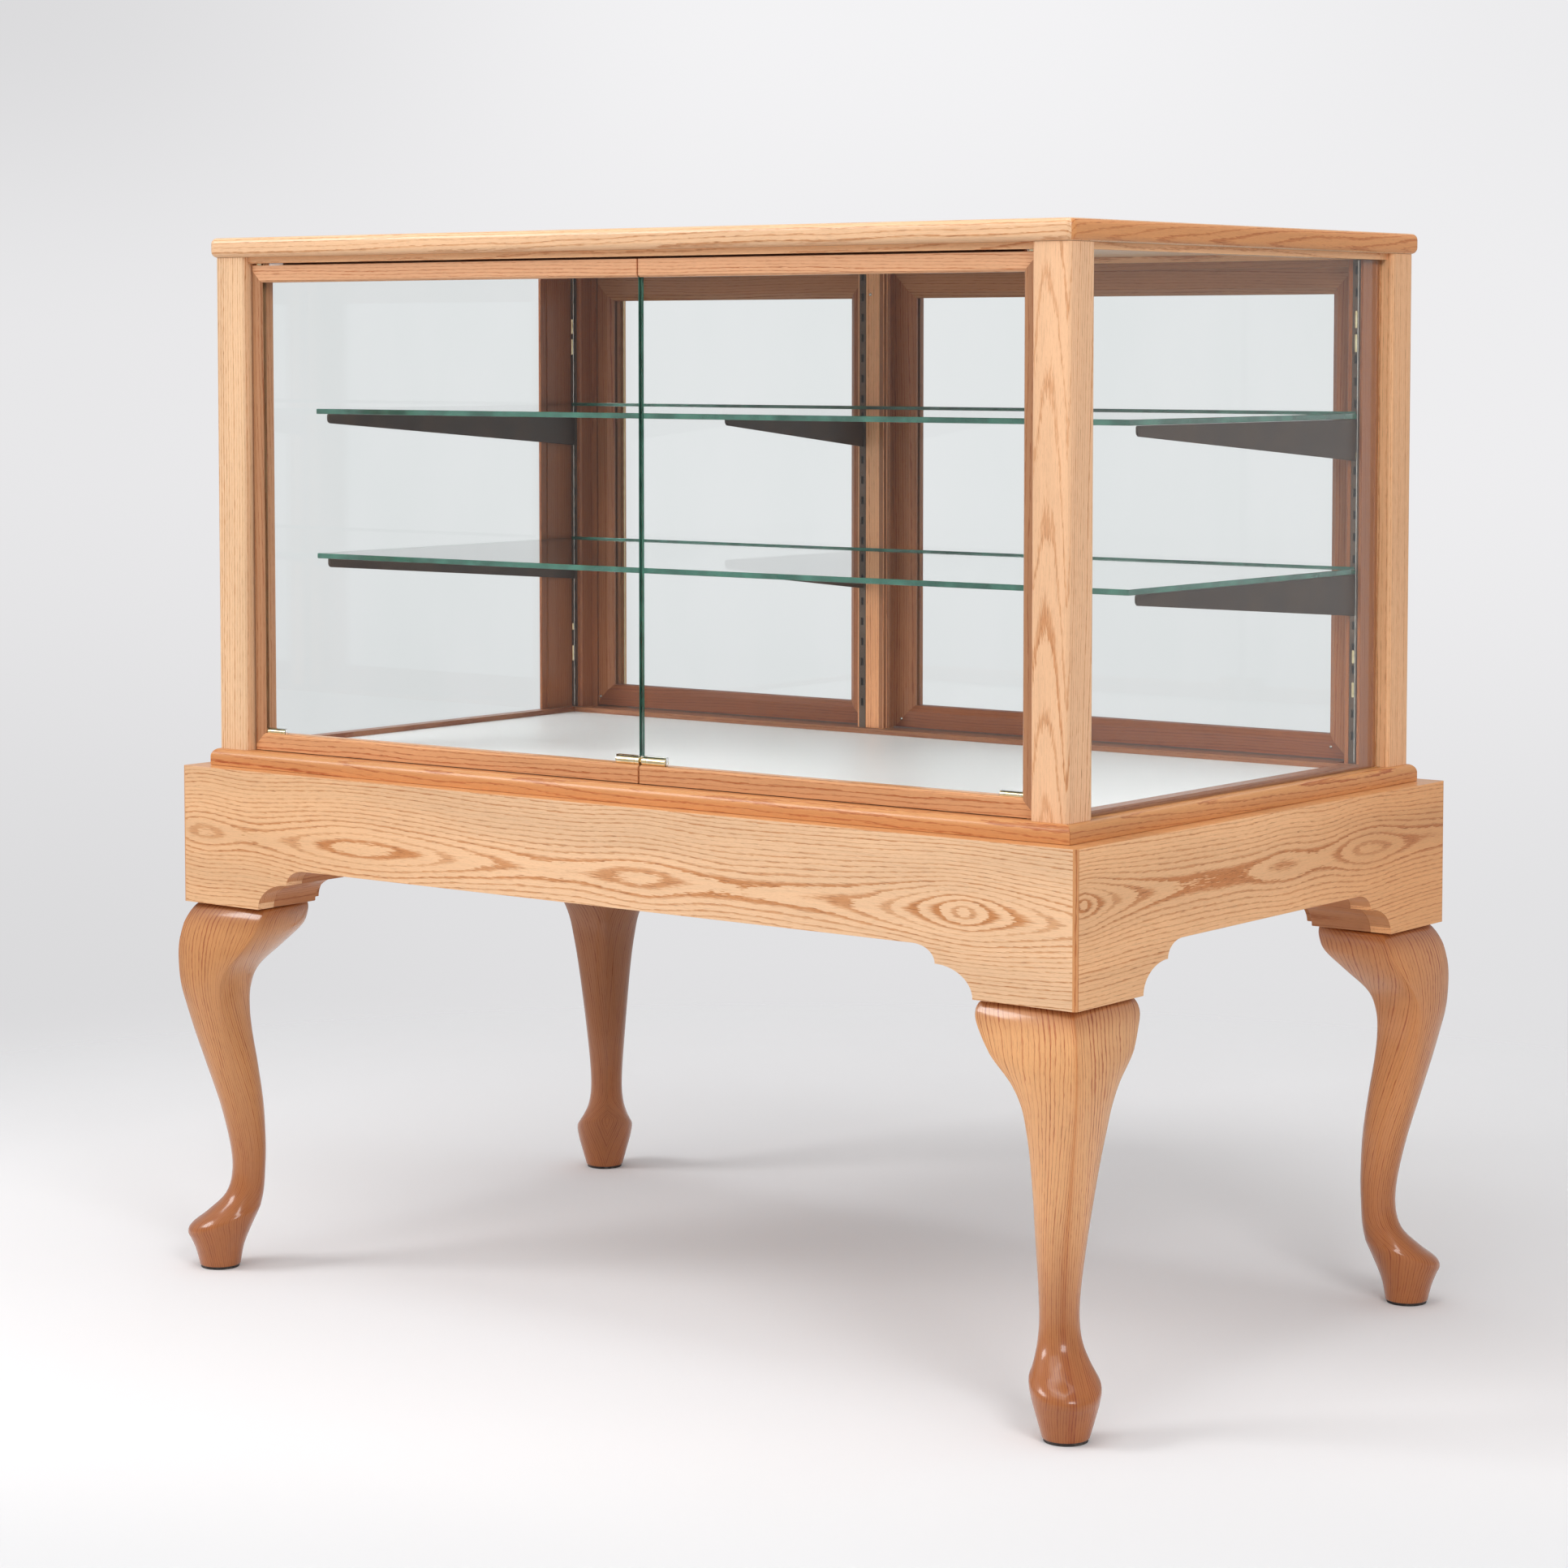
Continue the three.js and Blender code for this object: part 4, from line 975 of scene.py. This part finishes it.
def draw_grain(work, rings):
    """Maps the grain to follow the form: across from the outer ridge and along its length."""
    count = leg_ring_points
    middles = [sum(ring, Vector()) / count for ring in rings]
    along = [0.0]
    for here, there in zip(middles, middles[1:]):
        along.append(along[-1] + (there - here).length)
    girths = [sum((ring[k] - ring[k - 1]).length for k in range(count)) for ring in rings]
    usual = sum(girths) / len(girths)
    layer = work.loops.layers.uv.new(grain_map)
    work.verts.index_update()
    for face in work.faces:
        spots = [(vert.index // count, vert.index % count) for vert in face.verts]
        past_middle = any(k > count / 2 for _row, k in spots)
        far_side = past_middle and not any(k < count / 2 - 1 for _row, k in spots)
        for loop, (row, k) in zip(face.loops, spots):
            share = k / count
            if k > count / 2 or (k == count / 2 and far_side):
                share -= 1
            loop[layer].uv = (share * (girths[row] + usual) / 2, along[row])


def leg_form():
    spans = leg_steps * (len(leg_shares) - 1)
    rings = [leg_ring(station_at(leg_shares, k / leg_steps)) for k in range(spans + 1)]
    form = lofted(rings)
    draw_grain(form, rings)
    form = softened(form, leg_rim_round, 2, sharper_than=55)
    near = -(apron_thickness + seat_gap)
    far = near - leg_post_side
    post = block(far, near, far, near, leg_top - lower_cove[1], apron_top - hair)
    return joined_to(form, softened(post, wood_arris))


leg_turns = {"front_left": 180, "front_right": -90, "back_right": 0, "back_left": 90}
# Each leg has its own tone; the darker tones of the left and back legs are painted shade.
leg_tones = {
    "front_left": (0.72, 0.485, 0.275), "front_right": (0.91, 0.705, 0.495),
    "back_right": (0.72, 0.45, 0.245), "back_left": (0.37, 0.21, 0.12),
}
foot_ramp = (2, 250 * mm, 50 * mm, (0.49, 0.242, 0.10))

for corner, (sx, sy) in corner_signs.items():
    place = Matrix.Translation((sx * half_length, sy * half_depth, 0)) @ turn(leg_turns[corner], "Z")
    form = leg_form()
    bmesh.ops.transform(form, matrix=place, verts=form.verts)
    wood = oak(f"oak_leg_{corner}", "form", (0.23 * sx * sy, 0.10 + 0.01 * sx), 3.0 * mm,
               2.0 * sx + 1.2 * sy, 0.5, leg_tones[corner], ramp=foot_ramp, gloss=0.8, contrast=1.45)
    fine(f"leg_{corner}", form, [wood])


# Glides under the feet

def glide(node):
    lows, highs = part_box(node)
    radius = (highs.x - lows.x) / 2
    tall = highs.z - lows.z
    lip = 0.8 * mm
    profile = [(0, 0), (radius - lip, 0), (radius - 0.3 * lip, 0.3 * lip), (radius, lip),
               (radius, tall), (radius - 4 * lip, tall), (0, tall)]
    place = Matrix.Translation(((lows.x + highs.x) / 2, (lows.y + highs.y) / 2, lows.z))
    return turned(profile, glide_sides, place)


for corner in corner_signs:
    fine(f"glide_{corner}", glide(f"glide_{corner}"), [rubber])


# Posts: square with rounded arrises

def rounded_rectangle(x0, x1, y0, y1, radius, steps):
    points = []
    for x, y, start in ((x1 - radius, y1 - radius, 0), (x0 + radius, y1 - radius, 90),
                        (x0 + radius, y0 + radius, 180), (x1 - radius, y0 + radius, 270)):
        points += arc((x, y), (radius, radius), start, start + 90, steps)
    return points


def post_form(node):
    lows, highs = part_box(node)
    outline = rounded_rectangle(lows.x, highs.x, lows.y, highs.y, post_arris, post_steps)
    return stacked([(outline, lows.z), (outline, highs.z)])


post_woods = {
    "front_right": (0.553, -0.285, 9.0, (1.05, 0.97, 0.94)),
    "front_left": (-0.40, -0.20, 1.5, (1.02, 1.01, 1.0)),
    "back_right": (0.50, 0.16, 1.0, (1.09, 0.94, 0.82)),
    "back_left": (-0.45, 0.20, 1.5, (1.02, 0.95, 0.88)),
}
for corner, (px, py, taper, tone) in post_woods.items():
    wood = oak(f"oak_post_{corner}", "z", (px, py), 3.0 * mm, taper, 0.5, tone, flare=0.1)
    fine(f"post_{corner}", post_form(f"post_{corner}"), [wood])


# Top: a slab of glued staves with rounded edges and corners

def top_slab():
    lows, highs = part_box("case_top")
    layers = []
    turns = [(tilt, lows.z + top_round) for tilt in range(-90, 1, 15)]
    turns += [(tilt, highs.z - top_round) for tilt in range(0, 91, 15)]
    for tilt, middle in turns:
        angle = math.radians(tilt)
        inset = top_round * (1 - math.cos(angle))
        x, y = highs.x - inset, highs.y - inset
        radius = max(top_corner - inset, top_corner_least)
        outline = rounded_rectangle(-x, x, -y, y, radius, top_steps)
        layers.append((outline, middle + top_round * math.sin(angle)))
    work = stacked(layers)
    joints = int(highs.y / stave_width)
    for k in range(-joints, joints + 1):
        cut_along(work, (0, k * stave_width, 0), (0, 1, 0))
    return work


def stave_of(centre, normal):
    """Four woods in turn across the staves, then one for the end grain and one for the edge."""
    if abs(normal.z) > 0.8:
        return int(math.floor(centre.y / stave_width)) % 4
    return 4 if abs(normal.x) > abs(normal.y) else 5


top_woods = [
    oak(f"oak_top_{k}", "x", (1.181 + away, side), 4.4 * mm, taper, tone=(tone, tone, tone))
    for k, (away, side, taper, tone) in enumerate((
        (-0.06, -0.05, 4.0, 1.0), (0.05, -0.34, -5.0, 0.95),
        (-0.12, 0.15, 3.0, 1.04), (0.03, 0.33, 6.0, 0.98),
    ))
]
top_woods.append(oak("oak_top_end", "y", (1.20, 0.50), 3.0 * mm, 9.0, tone=(0.91, 0.60, 0.36)))
top_woods.append(oak("oak_top_edge", "x", (1.20, -0.31), 3.4 * mm, 3.0, tone=(1.04, 0.99, 0.96)))
fine("case_top", painted(top_slab(), stave_of), top_woods)


# Frames of straight members with mitred corners: header and sill

def slim_wood(name, grain, pith, tone, taper=2.5, ramp=None, contrast=1.0):
    """Oak for a slim member, with narrow rings."""
    return oak(f"oak_{name}", grain, pith, 3.4 * mm, taper, tone=tone, ramp=ramp, contrast=contrast)


def member_woods(prefix, piths, grains, tones, ramp=None):
    """Woods for the rails and the stiles of a frame, each with its own tone."""
    return [
        slim_wood(f"{prefix}_rail", grains[0], piths[0], tones[0], ramp=ramp, contrast=1.3),
        slim_wood(f"{prefix}_stile", grains[1], piths[1], tones[1], -2.5, contrast=1.3),
    ]


def frame_form(node, left, right, lowest, highest, up, arris):
    """A frame round an opening, cut at its mitres. up is its other axis: 1 or 2. The members
    along X are painted 0 and the others 1."""
    work = carried_over(node)
    for sx, x in ((-1, left), (1, right)):
        for way, level in ((-1, lowest), (1, highest)):
            corner, normal = Vector((x, 0, 0)), Vector((sx, 0, 0))
            corner[up], normal[up] = level, -way
            cut_along(work, corner, normal)

    def chooser(centre, _normal):
        past_x = max(left - centre.x, centre.x - right)
        past_up = max(lowest - centre[up], centre[up] - highest)
        return 0 if past_up > past_x else 1

    return softened(cleaned(painted(work, chooser)), arris)


def flat_frame(node, half, front, back):
    return frame_form(node, -half, half, front, back, 1, wood_arris)


jamb_front_y = low("rear_jamb_right").y
header_inner = (
    high("header_frame").x - header_rails[0], header_rails[1] - low("post_back_right").y, jamb_front_y)
# The header is lighter than the other frames: painted light that lifts the shade under the top's overhang.
header_light_tone = (1.08, 0.96, 0.84)
sill_inner = (high("rear_jamb_right").x - sill_rails[0], -far_off, jamb_front_y - sill_rails[1])
sill_tone = (0.38, 0.225, 0.16)
frame_tone = (0.58, 0.40, 0.295)
stile_tone = (0.47, 0.265, 0.165)
jamb_tone = (0.42, 0.22, 0.13)
fine("header_frame", flat_frame("header_frame", *header_inner), member_woods(
    "header", ((1.20, -0.20), (1.20, 0.45)), "xy", (header_light_tone, header_light_tone)))
fine("sill_frame", flat_frame("sill_frame", *sill_inner), member_woods(
    "sill", ((0.55, 0.30), (0.52, 0.50)), "xy", (sill_tone, sill_tone)))

for name, pith in (("left", (-0.50, 0.10)), ("right", (0.48, 0.12))):
    wood = slim_wood(f"jamb_{name}", "z", pith, jamb_tone, 2.0)
    fine(f"rear_jamb_{name}", carried_softened(f"rear_jamb_{name}", wood_arris), [wood])


def mullion():
    """The board between the rear doors. Its beaded edge is in a reveal, whose darker wood is painted shade.
    """
    start = high("mullion").x - mullion_reveal
    work = carried_over("mullion")
    cut_along(work, (start, 0, 0), (1, 0, 0))
    work = painted(work, lambda centre, _normal: 1 if centre.x > start else 0)
    return softened(cleaned(work), wood_arris)


# The mullion lightens towards the top as painted light under the header, and the reveal's darker wood is
# painted shade.
fine("mullion", mullion(), [
    slim_wood("mullion", "z", (-0.20, 0.20), (0.92, 0.64, 0.49), 2.0,
              ramp=(2, 700 * mm, 1000 * mm, (1.14, 0.95, 0.84))),
    slim_wood("mullion_reveal", "z", (-0.20, 0.20), (0.42, 0.24, 0.15), 2.0),
])


# Head stops: battens that close the gaps over the rear doors and behind the front ones

head_stop_wood = slim_wood("head_stop", "x", (1.20, 0.20), frame_tone, 3.0)
header_low = low("header_frame").z
head_stop_back = low("rear_door_frame_left").y - head_stop_gap
front_stop_face = high("front_door_frame_left").y + front_stop_gap


def head_stop(name, x0, x1, y0, y1, z0, z1):
    bar = softened(block(x0, x1, y0, y1, z0, z1), wood_arris)
    store(f"head_stop_{name}", bar, "mullion", [head_stop_wood])


for name, x0, x1 in (
    ("left", high("rear_jamb_left").x - head_stop_lap, low("mullion").x),
    ("right", high("mullion").x, low("rear_jamb_right").x + head_stop_lap),
):
    head_stop(name, x0 + hair, x1 - hair, head_stop_back - head_stop_deep, head_stop_back,
              header_low - head_stop_tall, header_low)
head_stop("front", -front_stop_reach, front_stop_reach, front_stop_face, front_stop_face + front_stop_deep,
          header_low - front_stop_tall, header_low - close_gap)


# Deck

fine("deck", carried_softened("deck", slim_arris), [white_laminate])


# Doors: a stile and two rails in front, and full frames behind

def door_frame(node, stiles, rails):
    """An upright frame, with the widths of its left and right stiles and its lower and upper
    rails. A stile of no width leaves that side open."""
    lows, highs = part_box(node)
    left = lows.x + stiles[0] if stiles[0] else -far_off
    right = highs.x - stiles[1] if stiles[1] else far_off
    return frame_form(node, left, right, lows.z + rails[0], highs.z - rails[1], 2, slim_arris)


# The front stiles' darker tone is painted shade beside the posts, and the rails lighten towards the top as
# painted light under the top's overhang.
front_door_tones = ((0.88, 0.66, 0.50), (0.58, 0.43, 0.35))
front_rail_light_ramp = (2, 750 * mm, 1000 * mm, (0.93, 0.76, 0.68))
bottom_shade = (2, 700 * mm, 630 * mm, (0.30, 0.13, 0.065))

for name, side in hands.items():
    for door, stiles, rails, piths, tones, ramp in (
        ("front_door", front_stiles, front_rails, ((0.66, -0.26), (side * 0.46, -0.25)),
         front_door_tones, front_rail_light_ramp),
        ("rear_door", rear_stiles, rear_rails, ((0.80, 0.24), (side * 0.30, 0.22)),
         (frame_tone, stile_tone), bottom_shade),
    ):
        node = f"{door}_frame_{name}"
        form = door_frame(node, stiles[::-side], rails)
        fine(node, form, member_woods(f"{door}_{name}", piths, "xz", tones, ramp))


# Glass: panes and shelves with green edges

def glass_sheet(node, axis):
    lows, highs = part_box(node)

    def chooser(centre, normal):
        """The faces and the small notches stay clear, and the outer edges are green."""
        if abs(normal[axis]) > 0.9:
            return 0
        spare = [min(centre[k] - lows[k], highs[k] - centre[k]) for k in range(3) if k != axis]
        return 1 if min(spare) < slim_arris else 0

    work = cleaned(carried_over(node))
    return fine(node, painted(work, chooser), [glass, green_edge])


for name in hands:
    glass_sheet(f"side_glass_{name}", 0)
    glass_sheet(f"front_door_glass_{name}", 1)
    glass_sheet(f"rear_door_glass_{name}", 1)
for level in ("lower", "upper"):
    glass_sheet(f"shelf_{level}", 2)
    lows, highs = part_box(f"shelf_{level}")
    line = block(lows.x + mm, highs.x - mm, highs.y - back_line[0], highs.y, highs.z, highs.z + back_line[1])
    line = softened(line, back_line_round)
    store(f"shelf_back_line_{level}", line, f"shelf_{level}", [green_edge])


# Metal pieces

def edged_metal(node, material):
    return fine(node, carried_softened(node, metal_edge_round, 1), [material])


def clamp(node, side):
    """A turned barrel with a groove near one end, lying along X."""
    lows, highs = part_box(node)
    radius = (highs.z - lows.z) / 2
    length = highs.x - lows.x
    collar = 0.18 * length
    groove = length - collar
    edge = 0.16 * radius
    neck = 0.84 * radius
    profile = [(0, 0), (radius - edge, 0), (radius - 0.3 * edge, 0.3 * edge), (radius, edge),
               (radius, groove - 1.6 * edge), (radius - 0.5 * edge, groove - 1.1 * edge),
               (neck, groove - edge), (neck, groove),
               (radius - 0.5 * edge, groove), (radius, groove + 0.6 * edge),
               (radius, length - edge), (radius - 0.3 * edge, length - 0.3 * edge),
               (radius - edge, length), (0, length)]
    middle = (lows + highs) / 2
    middle.x = lows.x if side < 0 else highs.x
    place = Matrix.Translation(middle) @ turn(-90 * side, "Y")
    return fine(node, turned(profile, clamp_sides, place), [brass])


for name, side in hands.items():
    clamp(f"seam_clamp_{name}", side)
    clamp(f"corner_clamp_{name}", side)
    for part in ("pivot_pin_lower", "pivot_pin_upper", "rear_hinge_post_leaf", "rear_hinge_door_leaf"):
        edged_metal(f"{part}_{name}", brass)


def bracket(node):
    """The arm, with its top edge level up to the standard."""
    work = carried_over(node)
    root = jamb_front_y - seat_gap
    at_root = [vert for vert in work.verts if abs(vert.co.y - root) < 2 * hair]
    highest = max(vert.co.z for vert in at_root)
    for vert in at_root:
        if vert.co.z > highest - hair:
            vert.co.z = high(node).z
    return fine(node, softened(cleaned(work), bracket_edge_round, 1), [bronze])


def upright(x, y, radius, start, end):
    """A thin upright rod with eased ends."""
    lip = 0.4 * radius
    tall = end - start
    profile = [(0, 0), (radius - lip, 0), (radius, lip),
               (radius, tall - lip), (radius - lip, tall), (0, tall)]
    return turned(profile, rod_sides, Matrix.Translation((x, y, start)))


def slot_shade_plate(node):
    """A dark plate inside a standard: painted shade, seen through its slots."""
    lows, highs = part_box(node)
    middle = (lows.x + highs.x) / 2
    slot_shade = block(middle - slot_shade_half, middle + slot_shade_half, lows.y + slot_shade_gaps[0],
                   highs.y - slot_shade_gaps[1], lows.z + mm, highs.z - mm)
    store(f"lining_{node}", slot_shade, node, [slot_shade_paint])


def seam_line(name, x, y, radius, metal):
    """A bright upright line, as tall as the mullion."""
    rod = upright(x, y, radius, low("mullion").z + mm, high("mullion").z - mm)
    store(f"seam_line_{name}", rod, "mullion", [metal])


def knuckles(name, x, spans):
    """Short hinge barrels beside a standard, and the bright line that they sit on."""
    seam_line(name, x + seam_rod_shift, jamb_front_y + seat_gap, seam_rod_radius, steel)
    for number, (start, end) in enumerate(spans, 1):
        barrel = upright(x, jamb_front_y + seat_gap, knuckle_radius, start * mm, end * mm)
        third = (end - start) / 3
        for share in (1, 2):
            cut_along(barrel, (0, 0, (start + share * third) * mm), (0, 0, 1))
        store(f"knuckle_{name}_{number}", barrel, "mullion", [brass])


def screw_head(name, x, y, z, node):
    """A small domed head that faces the counter's front."""
    rise = screw_dome * screw_radius
    slopes = [math.radians(degrees) for degrees in (0, 25, 50, 72)]
    dome = [(screw_radius * math.cos(slope), rise * math.sin(slope)) for slope in slopes]
    place = Matrix.Translation((x * mm, y * mm, z * mm)) @ turn(90, "X")
    head = turned([(0, 0), *dome, (0, rise)], screw_sides, place)
    store(f"screw_{name}", head, node, [steel])


for place in ("left", "middle", "right"):
    edged_metal(f"standard_{place}", standard_paint)
    slot_shade_plate(f"standard_{place}")
    for level in ("lower", "upper"):
        bracket(f"bracket_{level}_{place}")

knuckles("right", 553.8 * mm, ((678, 695), (715, 730), (937, 951), (1052, 1072), (1078, 1097)))
knuckles("left", -556.6 * mm, ((663, 683), (702, 711), (1048, 1068), (1074, 1093)))
seam_line("middle", -74.5 * mm, 264 * mm, 0.8 * mm, brass)
for name, x, y, z, node in (
    ("door_left_inner", -112, 277.2, 622, "rear_door_frame_left"),
    ("door_left_outer", -530, 277.2, 618, "rear_door_frame_left"),
    ("door_left_top", -112, 277.2, 1129, "rear_door_frame_left"),
    ("door_right_inner", -62, 277.2, 617, "rear_door_frame_right"),
    ("door_right_outer", 515, 277.2, 620, "rear_door_frame_right"),
    ("mullion_top", -92, 254.9, 1120, "mullion"),
):
    screw_head(name, x, y, z, node)


# Floor, world, lamps and camera

ambient = (0.495, 0.495, 0.50, 1.0)
backdrop_tint = (0.995, 0.99, 1.005, 1.0)
floor_radius = 6.0
floor_shade = (0.885, 0.882, 0.892, 1.0)
# The floor is darker towards the camera: painted shade against the lamps' brighter light there.
floor_front_shade = (0.80, 0.805, 0.815, 1.0)
floor_turn = (0.60, 1.05)
floor_fade = (1.0, 2.3)
front_way = (0.607, -0.795, 0.0)
view_right = (0.792, 0.610, 0.0)


def floor_material():
    """Pale floor that fades into the backdrop far from the object, and is darker towards the camera: painted
    shade that evens out the lamps' brighter light there.
    """
    material, graph = new_material("floor")
    place = object_place(graph)
    flat = graph.stretched(place, 1.0, 1.0, 0.0)
    away = graph.vector("LENGTH", flat)
    forward = graph.vector("DOT_PRODUCT", flat, front_way)
    shade = graph.blend(graph.step(forward, *floor_turn), floor_shade, floor_front_shade)
    near = graph.add("ShaderNodeBsdfDiffuse", {"Color": shade})
    clear = graph.add("ShaderNodeBsdfTransparent")
    graph.surface(graph.mixed(graph.step(away, *floor_fade), near.outputs[0], clear.outputs[0]))
    return material


def lay_floor():
    """A wide disc under the feet."""
    work = bmesh.new()
    bmesh.ops.create_circle(work, cap_ends=True, segments=96, radius=floor_radius)
    mesh = mesh_of("floor", work)
    mesh.materials.append(floor_material())
    put_in("floor", mesh)


def backdrop_glow(graph):
    """How bright the backdrop looks in each direction: dim at its foot and in one corner."""
    heading = graph.add("ShaderNodeTexCoord").outputs["Generated"]
    rise = graph.parts(heading)[2]
    across = graph.vector("DOT_PRODUCT", heading, view_right)
    high_up = graph.step(rise, 0.0, 0.09)
    glow = graph.plus(graph.step(rise, -0.30, -0.19, 0.90, 0.76),
                      graph.step(rise, -0.17, -0.02, 0.0, 0.10), graph.times(high_up, 0.045))
    left = graph.times(graph.step(across, -0.21, 0.0, 1.0, 0.0), graph.scaled(high_up, 0.14, 0.05))
    right = graph.times(graph.step(across, 0.05, 0.21), graph.times(high_up, 0.06))
    return graph.math("SUBTRACT", glow, graph.plus(left, right))


def light_world():
    """Soft ambient light, and a pale backdrop where the camera sees it or sees through glass."""
    space = bpy.data.worlds.new("studio")
    bpy.context.scene.world = space
    space.use_nodes = True
    space.node_tree.nodes.clear()
    graph = Graph(space.node_tree)
    path = graph.add("ShaderNodeLightPath").outputs
    seen = graph.math("MAXIMUM", path["Is Camera Ray"], path["Is Transmission Ray"])
    seen = graph.times(seen, graph.math("LESS_THAN", path["Diffuse Depth"], 0.5))
    light = graph.add("ShaderNodeBackground", {"Color": ambient, "Strength": 1.0})
    shown = graph.add("ShaderNodeBackground", {"Color": backdrop_tint, "Strength": backdrop_glow(graph)})
    graph.surface(graph.mixed(seen, light.outputs[0], shown.outputs[0]), "ShaderNodeOutputWorld")


def area_lamp(name, place, aim, size, watts):
    data = bpy.data.lights.new(name, "AREA")
    data.shape = "RECTANGLE"
    data.size, data.size_y = size
    data.energy = watts
    lamp = put_in(name, data)
    lamp.location = place
    lamp.rotation_euler = (Vector(aim) - Vector(place)).to_track_quat("-Z", "Y").to_euler()
    lamp.visible_camera = False


def place_camera():
    data = bpy.data.cameras.new("camera")
    data.sensor_width = 36
    data.lens = 88.121
    data.shift_y = -0.12
    data.clip_start, data.clip_end = 0.1, 100
    eye = put_in("camera", data)
    eye.location = (2.5989, -3.4094, 1.0572)
    pitch, yaw = 3.70, 37.59
    eye.rotation_euler = (math.radians(90 - pitch), 0, math.radians(yaw))
    bpy.context.scene.camera = eye


lay_floor()
light_world()
middle_of_case = (0.0, 0.0, 0.75)
for name, spot, size, watts in (
    ("top_lamp", (0.0, -0.2, 4.6), (2.4, 2.4), 44),
    ("front_lamp", (0.3, -1.9, 4.4), (2.4, 2.0), 24),
    ("left_lamp", (-3.0, -3.1, 3.1), (1.8, 1.4), 86),
    ("right_lamp", (3.2, -2.2, 2.7), (1.3, 1.3), 49),
):
    area_lamp(name, spot, middle_of_case, size, watts)
place_camera()
bpy.context.scene.view_settings.view_transform = "Standard"
